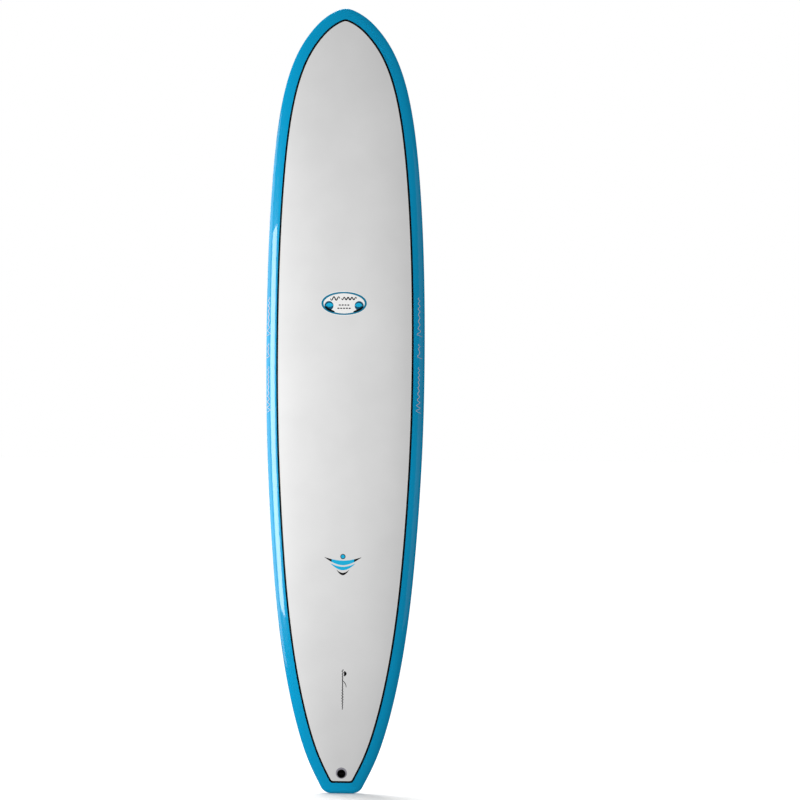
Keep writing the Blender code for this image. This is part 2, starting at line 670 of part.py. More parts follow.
def make_leash_plug(hull, materials):
    """Make the cup, its ring and bar on the deck, and the block round the cup."""
    frame = frame_on_deck("leash_plug_frame", PLUG_AT)
    over = 0.003
    cup = turned(
        "leash_plug_cup",
        [
            (0.0, -CUP_DEPTH),
            (CUP_RADIUS, -CUP_DEPTH),
            (CUP_RADIUS, 0.0),
            (CUP_RADIUS - 0.0004, RIM_PROUD),
            (CUP_BORE + 0.0010, RIM_PROUD),
            (CUP_BORE, -0.0008),
            (CUP_BORE, CUP_FLOOR - CUP_DEPTH + 0.002),
            (CUP_BORE - 0.0020, CUP_FLOOR - CUP_DEPTH),
            (0.0, CUP_FLOOR - CUP_DEPTH),
        ],
        materials["black"],
        frame,
    )

    def well(name, radius, floor):
        return turned(name, [(0.0, floor), (radius, floor), (radius, over), (0.0, over)], parent=frame)

    ring = turned(
        "leash_plug_ring",
        [
            (0.0, -RING_DEPTH),
            (RING_RADIUS, -RING_DEPTH),
            (RING_RADIUS, 0.0),
            (RING_RADIUS - 0.0010, RIM_PROUD),
            (0.0, RIM_PROUD),
        ],
        materials["grey"],
        frame,
    )
    ring_well = well("tool_ring_well", RING_RADIUS + GAP, RING_WELL_FLOOR)
    for piece in (ring, ring_well):
        piece.location = (0.0, RING_OFFSET, 0.0)
    cut(ring, well("tool_ring_bore", CUP_RADIUS + GAP, RING_WELL_FLOOR))
    cut(hull["deck_skin"], ring_well)

    bar_profile = [(0.0, -BAR_LENGTH / 2), (BAR_RADIUS, -BAR_LENGTH / 2), (BAR_RADIUS, BAR_LENGTH / 2)]
    bar = turned("leash_plug_bar", bar_profile + [(0.0, BAR_LENGTH / 2)], materials["black"], frame, steps=16)
    bar_hole = turned(
        "tool_bar_hole",
        [(0.0, -0.02), (BAR_RADIUS + GAP, -0.02), (BAR_RADIUS + GAP, 0.02), (0.0, 0.02)],
        parent=frame,
        steps=16,
    )
    for piece in (bar, bar_hole):
        piece.location = (0.0, 0.0, -BAR_SUNK)
        piece.rotation_euler = (0.0, math.pi / 2, 0.0)
    cut(cup, bar_hole)

    block_bore = CUP_RADIUS + GAP
    pocket_floor = -CUP_DEPTH - GAP
    turned(
        "leash_plug_block",
        [
            (0.0, PLUG_BLOCK_FLOOR),
            (PLUG_BLOCK_RADIUS, PLUG_BLOCK_FLOOR),
            (PLUG_BLOCK_RADIUS, PLUG_BLOCK_TOP),
            (block_bore, PLUG_BLOCK_TOP),
            (block_bore, pocket_floor),
            (0.0, pocket_floor),
        ],
        materials["block"],
        frame,
    )

    cut(hull["deck_sheet"], well("tool_cup_well", CUP_RADIUS + GAP, pocket_floor))
    cut(hull["core"], well("tool_block_well", PLUG_BLOCK_RADIUS + GAP, PLUG_BLOCK_FLOOR - GAP))


def make_marks(materials):
    """Make the printed marks: plain shapes with no lettering."""
    printed_mark("deck_badge", "deck", oval_columns(DECK_BADGE), materials["teal"])
    printed_mark("deck_emblem", "deck", crescent_columns(DECK_EMBLEM), materials["teal"])
    printed_mark("bottom_badge", "bottom", oval_columns(BOTTOM_BADGE), materials["white"])
    printed_mark("bottom_emblem", "bottom", crescent_columns(BOTTOM_EMBLEM), materials["white"])
    printed_mark("bottom_round_mark", "bottom", oval_columns(ROUND_MARK), materials["black"])
    printed_mark("bottom_capsule_mark", "bottom", oval_columns(CAPSULE_MARK), materials["white"])
    printed_mark("tail_mark", "bottom", bar_columns(TAIL_MARK), materials["white"])


def main():
    """Build the whole board."""
    for piece in list(bpy.data.objects):
        bpy.data.objects.remove(piece)
    materials = {
        "blue": material("gloss_blue", (0.001, 0.330, 0.620), 0.12),
        "deck": material("matt_deck_grey", (0.745, 0.745, 0.745), 0.55),
        "black": material("black", (0.006, 0.006, 0.007), 0.25),
        "core": material("core_foam", (0.86, 0.86, 0.84), 0.90),
        "sheet": material("sheet_foam", (0.72, 0.62, 0.38), 0.85),
        "block": material("dense_foam", (0.62, 0.50, 0.28), 0.85),
        "box": material("box_plastic", (0.42, 0.34, 0.30), 0.45),
        "grey": material("grey_plastic", (0.36, 0.35, 0.40), 0.35),
        "steel": material("stainless_steel", (0.56, 0.57, 0.58), 0.25, 1.0),
        "teal": material("teal_print", (0.010, 0.245, 0.380), 0.35),
        "white": material("white_print", (0.80, 0.80, 0.80), 0.35),
    }
    hull = make_hull(materials)
    make_centre_fin_box(hull, materials)
    make_side_fin_box("right", 1.0, hull, materials)
    make_side_fin_box("left", -1.0, hull, materials)
    make_leash_plug(hull, materials)
    make_marks(materials)


main()
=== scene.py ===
"""Looks of a 9 ft 6 in longboard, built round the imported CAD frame.

Metres; +Z runs from the tail to the nose, the deck faces -Y and the bottom +Y.
Surfaces are worked out from two plan coordinates: x, across, and d, the distance from the nose.
"""

import bisect
import json
import math

import bmesh
import bpy
from mathutils import Matrix, Vector


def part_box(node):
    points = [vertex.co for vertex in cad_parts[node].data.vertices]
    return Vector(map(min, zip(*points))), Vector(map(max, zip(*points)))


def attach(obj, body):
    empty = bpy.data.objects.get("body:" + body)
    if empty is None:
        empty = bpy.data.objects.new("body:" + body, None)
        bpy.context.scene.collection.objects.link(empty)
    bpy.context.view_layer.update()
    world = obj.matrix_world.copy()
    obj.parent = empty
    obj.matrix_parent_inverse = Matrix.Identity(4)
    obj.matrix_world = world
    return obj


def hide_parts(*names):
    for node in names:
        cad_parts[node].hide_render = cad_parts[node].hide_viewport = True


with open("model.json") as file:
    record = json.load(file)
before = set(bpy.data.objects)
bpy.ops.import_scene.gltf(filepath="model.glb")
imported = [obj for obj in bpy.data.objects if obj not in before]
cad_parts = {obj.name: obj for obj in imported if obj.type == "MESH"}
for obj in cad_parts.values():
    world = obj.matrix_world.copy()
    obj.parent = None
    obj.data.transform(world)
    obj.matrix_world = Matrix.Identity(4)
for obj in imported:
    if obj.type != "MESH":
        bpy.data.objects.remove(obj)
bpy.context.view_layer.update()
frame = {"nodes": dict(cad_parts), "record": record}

BOARD = "board"
SIDEWAYS = Vector((1.0, 0.0, 0.0))
MOUNTS = {mount["name"]: mount for mount in frame["record"]["mounts"]}

# --- Board dimensions, as in the CAD ---
LOW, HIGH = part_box("bottom_rail_skin")
LENGTH = HIGH.z - LOW.z
BOTTOM_Y = HIGH.y
HALF_WIDTH = 0.2952
THICKNESS = 0.079
NOSE_THICKNESS = 0.015
TAIL_THICKNESS = 0.026
NOSE_FOIL = 2.8
TAIL_FOIL = 3.2
APEX_SHARE = 0.40
LOW_POINT = 1.35
NOSE_ROCKER = 0.125
NOSE_ROCKER_POWER = 2.4
TAIL_CURVE = 0.0344
STRAIGHT_FROM = 2.30
NOSE_ROUNDING = 0.030
TAIL_ROUNDING = 0.014
DECK_CROWN = 2.6
RAIL_BAND = 0.035
TAIL_RAIL_BAND = 0.024
TAIL_BAND_FROM = 1.90
TAIL_CORNER_RADIUS = 0.042
PINLINE_CORNER_RADIUS = 0.012
PINLINE_INSET = 0.0435
PINLINE_WIDTH = 0.0072
HAIRLINE_WIDTH = 0.0022
PINLINE_OUTER = PINLINE_INSET - PINLINE_WIDTH / 2
PINLINE_INNER = PINLINE_INSET + PINLINE_WIDTH / 2
SKIN = 0.0010
STATIONS = [
    (0.000, 0.0000), (0.010, 0.0375), (0.040, 0.0845), (0.080, 0.1242), (0.150, 0.1722),
    (0.305, 0.2290), (0.610, 0.2725), (1.000, 0.2922), (1.245, HALF_WIDTH), (1.600, 0.2898),
    (2.000, 0.2672), (2.400, 0.2214), (2.650, 0.1672), (2.800, 0.1142), (2.8714, 0.0782),
]

# --- Fineness ---
SIDE_STEPS = 150
CORNER_STEPS = 14
CROSS_POINTS = 23
RAIL_RINGS = 16
BOTTOM_RINGS = 14

# --- Fittings, as in the CAD ---
BOX_LIP = (0.013, 0.264)
BOX_SLOT = (0.009, 0.260)
BOX_MOUTH_LIP = (0.024, 0.018)
BOX_MOUTH = (0.020, 0.014)
BOX_GROOVE = (0.0145, 0.254)
BOX_GROOVE_Y = (-0.0115, -0.0065)
BOX_BODY = (0.026, 0.270)
BOX_TOP_Y = -0.0013
BOX_FLOOR_Y = -0.0250
BOX_SLOT_FLOOR_Y = -0.0215
SIDE_BODY = (0.032, 0.108)
SIDE_BODY_TOP_Y = -0.0022
SIDE_BODY_FLOOR_Y = -0.0170
SIDE_SLOT_WIDTH = 0.0075
SIDE_SLOT_FLOOR_Y = -0.0140
SIDE_LIP_RIM = 0.0015
SIDE_SLOTS = {"front": (0.0245, 0.047), "rear": (-0.0240, 0.036)}
SCREW_PLACES = {"front": (-0.0115, 0.0150), "rear": (0.011, -0.0280)}
SCREW_TILT = math.radians(35)
SCREW_RADIUS = 0.0025
SCREW_LENGTH = 0.010
SCREW_SUNK = 0.0015
THREAD_PITCH = 0.0008
THREAD_GROOVE = 0.00035
SOCKET_RADIUS = 0.00145
SOCKET_DEPTH = 0.003
SCREW_HOLE_RADIUS = 0.0028
SCREW_HOLE_DEPTH = 0.0160
COLLAR_RADIUS = 0.0042
CUP_RADIUS = 0.01575
CUP_BORE = 0.0130
CUP_DEPTH = 0.0180
CUP_FLOOR = 0.0030
RING_RADIUS = 0.0205
RING_DEPTH = 0.0009
RING_OFFSET = 0.0025
RIM_PROUD = 0.0003
BAR_RADIUS = 0.0022
BAR_LENGTH = 0.0300
BAR_SUNK = 0.0055

WINDOW_GAP = 0.0002         # left round each fitting in the skin
CUTTER_REACH = 0.003        # how far a cutter stands past the surface it cuts
LIP_DEPTH = 0.002           # how far a lip reaches down into its box
RIM_DEPTH = 0.0008          # the pale edge of a box, a painted highlight
SMOOTH_DEGREES = 35         # flatter edges than this are shaded smooth

# --- Marks: badges as (x, d, width, length), emblems as (x, d, width), runs as (first d, length) ---
DECK_BADGE = (-0.0026, 1.084, 0.167, 0.086)
BOTTOM_BADGE = (-0.021, 1.0945, 0.173, 0.087)
DECK_EMBLEM = (0.0, 2.037, 0.139)
BOTTOM_EMBLEM = (0.0, 2.053, 0.135)
DECK_LINE = (2.436, 0.149)
ROUND_MARK_AT = 2.389
CAPSULE_AT = 2.4405
COMB_AT = 2.848
TAIL_DOT_AT = 2.832
TAIL_LINE_AT = 2.869
STRIPE = (1.060, 0.430)
BADGE_RIM = 0.0062
INK = 0.0002                # how far most printed shapes stand proud
TOP_INK = 0.0003            # and those laid over them
STROKE_UNDERSIDE = 0.00005
PATCH_UNDERSIDE = 0.00003


# --- Shape of the board ---
def natural_spline(x, y):
    """Return the natural cubic spline through the knots, and its slope, as one function."""
    count = len(x)
    bend = [0.0] * count
    work = [0.0] * count
    for i in range(1, count - 1):
        before = x[i] - x[i - 1]
        after = x[i + 1] - x[i]
        share = before / (before + after)
        pivot = share * bend[i - 1] + 2
        bend[i] = (share - 1) / pivot
        change = (y[i + 1] - y[i]) / after - (y[i] - y[i - 1]) / before
        work[i] = (6 * change / (before + after) - share * work[i - 1]) / pivot
    for i in range(count - 2, -1, -1):
        bend[i] = bend[i] * bend[i + 1] + work[i]

    def value_and_slope(q):
        i = min(max(bisect.bisect_left(x, q) - 1, 0), count - 2)
        h = x[i + 1] - x[i]
        a = (x[i + 1] - q) / h
        b = (q - x[i]) / h
        value = a * y[i] + b * y[i + 1] + ((a**3 - a) * bend[i] + (b**3 - b) * bend[i + 1]) * h * h / 6
        slope = (y[i + 1] - y[i]) / h
        slope += ((3 * b * b - 1) * bend[i + 1] - (3 * a * a - 1) * bend[i]) * h / 6
        return value, slope

    return value_and_slope


SIDE_SPLINE = natural_spline([math.sqrt(d) for d, _ in STATIONS], [w for _, w in STATIONS])
SIDE_END = STATIONS[-1][0]


def side_point(d, inset):
    """Return the plan point (x, d) of the right side at distance d, moved in by inset."""
    root = math.sqrt(d)
    width, slope = SIDE_SPLINE(root)
    normal = Vector((-2 * root, slope)).normalized()
    return Vector((width, d)) + inset * normal


def corner(inset):
    """Return the tail corner's centre, its radius, the side's tangent angle and the side's last d."""
    share = min(inset / PINLINE_INSET, 1.0)
    radius = TAIL_CORNER_RADIUS + share * (PINLINE_CORNER_RADIUS - TAIL_CORNER_RADIUS)
    root = math.sqrt(SIDE_END)
    normal = Vector((-2 * root, SIDE_SPLINE(root)[1])).normalized()
    along = Vector((normal.y, -normal.x))
    start = side_point(SIDE_END, inset + radius)
    reach = (LENGTH - inset - radius - start.y) / along.y
    return start + reach * along, radius, math.acos(-normal.y), SIDE_END + min(reach, 0.0) * along.y


OUTLINE_CORNER = corner(0.0)


def half_width(d):
    """Return the outline's half-width at distance d from the nose."""
    centre, radius, angle, _ = OUTLINE_CORNER
    tangent_d = centre.y + radius * math.cos(angle)
    if d >= tangent_d:
        return centre.x + math.sqrt(max(radius**2 - (d - centre.y) ** 2, 0.0))
    if d > SIDE_END:
        share = (d - SIDE_END) / (tangent_d - SIDE_END)
        return (1 - share) * STATIONS[-1][1] + share * (centre.x + radius * math.sin(angle))
    return SIDE_SPLINE(math.sqrt(max(d, 0.0)))[0]


def rocker(d):
    """Return how far the bottom lifts towards the deck side at distance d."""
    if d < LOW_POINT:
        return NOSE_ROCKER * ((LOW_POINT - d) / LOW_POINT) ** NOSE_ROCKER_POWER
    curved = min(d, STRAIGHT_FROM) - LOW_POINT
    straight = max(d - STRAIGHT_FROM, 0.0)
    return TAIL_CURVE * curved * (curved + 2 * straight)


def thickness(d):
    """Return the board's full thickness on the centreline at distance d."""
    if d < LOW_POINT:
        share = 1 - ((LOW_POINT - d) / LOW_POINT) ** NOSE_FOIL
        return NOSE_THICKNESS + (THICKNESS - NOSE_THICKNESS) * share
    share = 1 - (min(d - LOW_POINT, LENGTH - LOW_POINT) / (LENGTH - LOW_POINT)) ** TAIL_FOIL
    return TAIL_THICKNESS + (THICKNESS - TAIL_THICKNESS) * share


def end_rounding(d):
    """Return 1 along the board, falling on an ellipse to 0 at the nose tip and at the tail end."""
    nose = min(max(d, 0.0) / NOSE_ROUNDING, 1.0)
    tail = min(max(LENGTH - d, 0.0) / TAIL_ROUNDING, 1.0)
    return math.sqrt((1 - (1 - nose) ** 2) * (1 - (1 - tail) ** 2))


def fullness(x, d, side):
    """Return the share of the height above (deck) or below (bottom) the apex line, 0 at the outline."""
    width = half_width(d)
    if width < 1e-6:
        return 0.0
    if side == "deck":
        across = math.sqrt(max(1 - min(abs(x) / width, 1.0) ** DECK_CROWN, 0.0))
    else:
        narrowing = min(max((d - TAIL_BAND_FROM) / (STRAIGHT_FROM - TAIL_BAND_FROM), 0.0), 1.0)
        band = RAIL_BAND + narrowing * (TAIL_RAIL_BAND - RAIL_BAND)
        turn = min(max(width - abs(x), 0.0) / min(band, 0.9 * width), 1.0)
        across = math.sqrt(1 - (1 - turn) ** 2)
    return across * end_rounding(d)


def board_point(x, d, side, depth=0.0):
    """Return the 3-D point under plan point (x, d) on one face, on the layer that lies depth inside it."""
    apex = BOTTOM_Y - rocker(d) - APEX_SHARE * thickness(d)
    if side == "deck":
        y = apex - ((1 - APEX_SHARE) * thickness(d) - depth) * fullness(x, d, side)
    else:
        y = apex + (APEX_SHARE * thickness(d) - depth) * fullness(x, d, side)
    middle = LENGTH / 2
    inner_d = middle + (d - middle) * (1 - 2 * depth / LENGTH)
    return Vector((x * (1 - depth / HALF_WIDTH), y, LENGTH - inner_d))


def surface_point(x, d, side, lift):
    """Return the 3-D point at plan point (x, d), raised by lift along the surface's own normal."""
    step = 0.0005
    here = board_point(x, d, side)
    across = board_point(x + step, d, side) - board_point(x - step, d, side)
    along = board_point(x, d + step, side) - board_point(x, d - step, side)
    normal = across.cross(along).normalized()
    if (normal.y > 0) == (side == "deck"):
        normal.negate()
    return here + lift * normal


# --- Mesh helpers ---
def plan_loop(inset):
    """Return the plan loop at an inset: nose tip, right side, tail corner, tail end, then the left side."""
    centre, radius, angle, side_end = corner(inset)
    right = []
    for i in range(1, SIDE_STEPS):
        d = side_end * (1 - math.cos(math.pi * i / SIDE_STEPS)) / 2
        right.append(side_point(d, inset))
    for i in range(CORNER_STEPS + 1):
        turn = angle * (1 - i / CORNER_STEPS)
        right.append(centre + radius * Vector((math.sin(turn), math.cos(turn))))
    end = right[-1]
    flat = [Vector((end.x * (1 - 2 * j / (CROSS_POINTS + 1)), end.y)) for j in range(1, CROSS_POINTS + 1)]
    left = [Vector((-p.x, p.y)) for p in reversed(right)]
    return [Vector((0.0, inset))] + right + flat + left


def bridge(bm, ring_a, ring_b, closed=True):
    """Join two runs of vertices of the same length with four-sided faces."""
    count = len(ring_a)
    for i in range(count if closed else count - 1):
        j = (i + 1) % count
        bm.faces.new((ring_a[i], ring_a[j], ring_b[j], ring_b[i]))


def cap(bm, ring, inset, side, depth):
    """Close a ring with rows across the board."""
    sides = (len(ring) - 1 - CROSS_POINTS) // 2
    plan = plan_loop(inset)
    rows = []
    for i in range(1, sides + 1):
        row = [ring[i], ring[-i]]
        if i == sides:
            row[1:1] = ring[sides + 1:sides + 1 + CROSS_POINTS]
        else:
            across = [plan[i].x * (1 - 2 * j / (CROSS_POINTS + 1)) for j in range(1, CROSS_POINTS + 1)]
            row[1:1] = [bm.verts.new(board_point(x, plan[i].y, side, depth)) for x in across]
        rows.append(row)
    for a, b in zip(rows[0], rows[0][1:]):
        bm.faces.new((ring[0], a, b))
    for upper, lower in zip(rows, rows[1:]):
        bridge(bm, upper, lower, closed=False)


def add_object(name, data):
    """Put a new object in the scene."""
    item = bpy.data.objects.new(name, data)
    bpy.context.scene.collection.objects.link(item)
    return item


def smooth(mesh):
    """Shade a mesh smooth across all but its sharp edges."""
    mesh.shade_smooth()
    mesh.set_sharp_from_angle(angle=math.radians(SMOOTH_DEGREES))


def make_object(bm, name, *materials):
    """Turn a bmesh into a smooth-shaded object with outward faces."""
    bmesh.ops.recalc_face_normals(bm, faces=bm.faces)
    mesh = bpy.data.meshes.new(name)
    bm.to_mesh(mesh)
    bm.free()
    smooth(mesh)
    for material in materials:
        mesh.materials.append(material)
    return add_object(name, mesh)


def lofted(name, rings, material, caps=True):
    """Skin a run of rings, each (inset, side, depth), closed by two caps or joined end to end."""
    bm = bmesh.new()
    loops = []
    for inset, side, depth in rings:
        loops.append([bm.verts.new(board_point(p.x, p.y, side, depth)) for p in plan_loop(inset)])
    for a, b in zip(loops, loops[1:]):
        bridge(bm, a, b)
    if caps:
        cap(bm, loops[0], *rings[0])
        cap(bm, loops[-1], *rings[-1])
    else:
        bridge(bm, loops[-1], loops[0])
    return make_object(bm, name, material)


def insets(last, count):
    """Return insets from the outline to last, closer together near the outline."""
    return [last * share**2 for share in shares(count)]


def shares(steps):
    """Return even shares from 0 to 1."""
    return [i / steps for i in range(steps + 1)]


def arc(x, y, radius, first, last, steps=24):
    """Return the points of a circle's arc between two angles in degrees."""
    angles = [math.radians(first + (last - first) * share) for share in shares(steps)]
    return [(x + radius * math.cos(a), y + radius * math.sin(a)) for a in angles]


def rounded_outline(width, length, radius, steps=12):
    """Return a rounded rectangle's points (x, z), anticlockwise."""
    points = []
    for quarter in range(4):
        sx = 1 if quarter in (0, 3) else -1
        sz = 1 if quarter in (0, 1) else -1
        centre = Vector((sx * (width / 2 - radius), sz * (length / 2 - radius)))
        for share in shares(steps):
            angle = math.pi / 2 * (quarter + share)
            points.append(centre + radius * Vector((math.cos(angle), math.sin(angle))))
    return [p for p, q in zip(points, points[1:] + points[:1]) if (p - q).length > 1e-6]


def prism(name, matrix, size, y_low, y_high, *materials, grow=0.0, at=(0.0, 0.0), radius=None):
    """Make a rounded bar of width and length size, from y_low to y_high, in the frame that matrix gives."""
    width = size[0] + 2 * grow
    length = size[1] + 2 * grow
    corner_radius = min(width, length) / 2 if radius is None else radius + grow
    bm = bmesh.new()
    outline = rounded_outline(width, length, corner_radius)
    lower, upper = ([bm.verts.new(matrix @ Vector((at[0] + p.x, y, at[1] + p.y))) for p in outline]
                    for y in (y_low, y_high))
    bridge(bm, lower, upper)
    bm.faces.new(lower)
    bm.faces.new(upper)
    return make_object(bm, name, *materials)


def turned(name, matrix, profile, *materials, steps=72):
    """Turn a closed profile of (radius, z) points round the Z axis of the frame that matrix gives."""
    bm = bmesh.new()
    rings = []
    for r, z in profile:
        turns = [2 * math.pi * i / steps for i in range(steps if r > 0 else 1)]
        rings.append([bm.verts.new(matrix @ Vector((r * math.cos(t), r * math.sin(t), z))) for t in turns])
    pairs = list(zip(rings, rings[1:]))
    if len(rings[0]) > 1:
        pairs.append((rings[-1], rings[0]))
    for a, b in pairs:
        if min(len(a), len(b)) > 1:
            bridge(bm, a, b)
            continue
        tip, ring = (a[0], b) if len(a) == 1 else (b[0], a)
        for i in range(steps):
            bm.faces.new((tip, ring[i], ring[(i + 1) % steps]))
    return make_object(bm, name, *materials)


def apply_modifiers(piece):
    """Keep a piece's evaluated mesh and drop its modifiers."""
    evaluated = piece.evaluated_get(bpy.context.evaluated_depsgraph_get())
    mesh = bpy.data.meshes.new_from_object(evaluated)
    piece.modifiers.clear()
    piece.data = mesh


def shape_with(piece, operation, tools, bevel=0.0):
    """Add or take away tools with exact Booleans, round the edges, and remove the tools."""
    for tool in tools:
        step = piece.modifiers.new(tool.name, "BOOLEAN")
        step.operation = operation
        step.solver = "EXACT"
        step.object = tool
    if bevel:
        edge = piece.modifiers.new("edges", "BEVEL")
        edge.width = bevel
        edge.segments = 3
        edge.limit_method = "ANGLE"
        edge.angle_limit = math.radians(40)
        edge.use_clamp_overlap = True
    apply_modifiers(piece)
    for tool in tools:
        bpy.data.objects.remove(tool)
    smooth(piece.data)


def place(piece, *nodes, slot):
    """Let a piece ride on the board and stand for CAD nodes. The slot is not used."""
    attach(piece, BOARD)
    if nodes:
        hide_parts(*nodes)


# --- Materials ---
class Nodes:
    """A small helper round one material's node tree."""

    def __init__(self, name, **constants):
        self.material = bpy.data.materials.new(name)
        self.material.use_nodes = True
        self.tree = self.material.node_tree
        self.shader = self.tree.nodes["Principled BSDF"]
        self.where = self.tree.nodes.new("ShaderNodeTexCoord").outputs["Object"]
        for socket, value in constants.items():
            self.shader.inputs[socket.replace("_", " ")].default_value = value

    def add(self, kind, output, feeds, **values):
        """Add a node with set and fed inputs, and return one of its outputs."""
        node = self.tree.nodes.new(kind)
        for socket, value in values.items():
            node.inputs[socket.replace("_", " ")].default_value = value
        for socket, source in feeds.items():
            self.tree.links.new(source, node.inputs[socket])
        return node.outputs[output]

    def stretched(self, scale):
        """Return the position, scaled differently along the three axes."""
        return self.add("ShaderNodeMapping", "Vector", {"Vector": self.where}, Scale=scale)

    def noise(self, scale, detail=3.0, roughness=0.55, vector=None):
        """Return a noise value."""
        feeds = {"Vector": vector or self.where}
        return self.add("ShaderNodeTexNoise", "Fac", feeds, Scale=scale, Detail=detail, Roughness=roughness)

    def cells(self, scale):
        """Return the distance to the nearest cell point."""
        return self.add("ShaderNodeTexVoronoi", "Distance", {"Vector": self.where}, Scale=scale)

    def ramp(self, value, *stops):
        """Return a colour ramp of (position, colour) stops over a value."""
        colour = self.add("ShaderNodeValToRGB", "Color", {"Fac": value})
        elements = colour.node.color_ramp.elements
        while len(elements) < len(stops):
            elements.new(0.5)
        for element, (position, shade_there) in zip(elements, stops):
            element.position = position
            element.color = (*shade_there, 1.0)
        return colour

    def between(self, value, low, high):
        """Return a value mapped from 0..1 to low..high."""
        return self.add("ShaderNodeMapRange", "Result", {"Value": value}, To_Min=low, To_Max=high)

    def bottom_shade_share(self):
        """Return 0 where the surface faces forwards or sideways, rising to 1 on the flat of the bottom: the
        share of the bottom's painted shade.
        """
        normal = self.where.node.outputs["Normal"]
        backwards = self.add("ShaderNodeSeparateXYZ", "Y", {"Vector": normal})
        return self.add("ShaderNodeMapRange", "Result", {"Value": backwards}, From_Max=0.8)

    def mixed(self, factor, first, second):
        """Return a blend of two colours."""
        node = self.tree.nodes.new("ShaderNodeMix")
        node.data_type = "RGBA"
        for socket, source in (("Factor", factor), ("A", first), ("B", second)):
            self.tree.links.new(source, node.inputs[socket])
        return node.outputs["Result"]

    def finish(self, colour, roughness, *layers):
        """Use a colour, a roughness and (value, metres) bump layers, and return the material."""
        self.tree.links.new(colour, self.shader.inputs["Base Color"])
        self.tree.links.new(roughness, self.shader.inputs["Roughness"])
        normal = None
        for value, distance in layers:
            feeds = {"Height": value, "Normal": normal} if normal else {"Height": value}
            normal = self.add("ShaderNodeBump", "Normal", feeds, Strength=1.0, Distance=distance)
        if normal:
            self.tree.links.new(normal, self.shader.inputs["Normal"])
        return self.material


def shade(colour, factor):
    """Return a colour made lighter or darker."""
    return tuple(channel * factor for channel in colour)


def gloss_paint(name, rail_colour, shaded_bottom_colour):
    """Polished paint under a clear coat: drifting tone, faint orange peel, and on the bottom a deeper copy
    of the same paint as painted shade.
    """
    n = Nodes(name, Coat_Weight=1.0, Coat_Roughness=0.03, Coat_IOR=1.5, Specular_IOR_Level=0.1)
    drift = n.noise(2.2, 2.0)
    rails = n.ramp(drift, (0.25, shade(rail_colour, 0.93)), (0.75, shade(rail_colour, 1.07)))
    bottom = n.ramp(drift, (0.25, shade(shaded_bottom_colour, 0.93)), (0.75, shade(shaded_bottom_colour, 1.07)))
    # painted shade: where the surface faces the bottom, a deeper, bluer copy of the same paint stands in for
    # how the bottom is lit
    colour = n.mixed(n.bottom_shade_share(), rails, bottom)
    roughness = n.between(n.noise(60.0, 4.0), 0.16, 0.30)
    return n.finish(colour, roughness, (n.noise(14.0, 2.0), 0.00010), (n.noise(420.0, 2.0), 0.000012))


def sanded_laminate(name, colour):
    """Wet-sanded laminate: fine scratches along the board over a faint grain, and pale mottling."""
    n = Nodes(name, IOR=1.45, Specular_IOR_Level=0.3)
    mottle = n.ramp(n.noise(5.0, 3.0), (0.3, shade(colour, 0.965)), (0.7, shade(colour, 1.02)))
    scratches = n.noise(900.0, 3.0, 0.6, n.stretched((1.0, 1.0, 0.04)))
    layers = (n.noise(11.0, 2.0), 0.00012), (scratches, 0.000022), (n.noise(1600.0, 1.0), 0.000010)
    return n.finish(mottle, n.between(scratches, 0.52, 0.70), *layers)


def resin_line(name, colour, thin, thick):
    """A thin gloss resin line; uneven flow makes the colour thinner in places and thicker in others."""
    n = Nodes(name, Coat_Weight=0.7, Coat_Roughness=0.05)
    flow = n.ramp(n.noise(90.0, 2.0), (0.3, shade(colour, thin)), (0.7, shade(colour, thick)))
    return n.finish(flow, n.between(n.noise(200.0, 2.0), 0.22, 0.36), (n.noise(260.0, 2.0), 0.00003))


def printed(name, colour):
    """Ink on thin paper under resin: a fine fibre pattern and slight unevenness of the ink."""
    n = Nodes(name, Coat_Weight=0.4, Coat_Roughness=0.15)
    fibres = n.ramp(n.noise(700.0, 3.0), (0.35, shade(colour, 0.90)), (0.65, shade(colour, 1.06)))
    return n.finish(fibres, n.between(n.noise(300.0, 2.0), 0.35, 0.5), (n.noise(1200.0, 2.0), 0.000008))


def moulded_plastic(name, colour, rough=(0.38, 0.55), grain=0.00003, flecks=0.12):
    """Fibre-filled moulded plastic: flecks, a fine spark-eroded grain and rubbed patches."""
    n = Nodes(name, IOR=1.48)
    flecked = n.ramp(n.cells(1400.0), (0.1, shade(colour, 1 + flecks)), (0.6, shade(colour, 1 - flecks)))
    roughness = n.between(n.noise(160.0, 3.0), *rough)
    return n.finish(flecked, roughness, (n.noise(900.0, 2.0), grain), (n.noise(70.0, 2.0), grain))


def turned_steel(name):
    """Stainless steel with fine turning marks and a soft patina."""
    n = Nodes(name, Metallic=1.0)
    patina = n.ramp(n.noise(120.0, 3.0), (0.3, (0.50, 0.50, 0.51)), (0.7, (0.66, 0.66, 0.67)))
    return n.finish(patina, n.between(n.noise(500.0, 2.0), 0.20, 0.38), (n.noise(1800.0, 1.0), 0.000012))


# the second colour is the same blue, deepened as painted shade for the bottom
BLUE = gloss_paint("gloss_blue_paint", (0.0003, 0.335, 0.620), (0.0000, 0.290, 0.650))
DECK = sanded_laminate("sanded_grey_laminate", (0.745, 0.745, 0.745))
BLACK_LINE = resin_line("black_resin_line", (0.003, 0.003, 0.004), 0.8, 1.3)
WHITE_LINE = resin_line("white_resin_line", (0.80, 0.80, 0.79), 0.98, 1.02)
BOX_PLASTIC = moulded_plastic("grey_brown_box_plastic", (0.58, 0.40, 0.33))
SIDE_PLASTIC = moulded_plastic("copper_brown_box_plastic", (0.80, 0.54, 0.43))
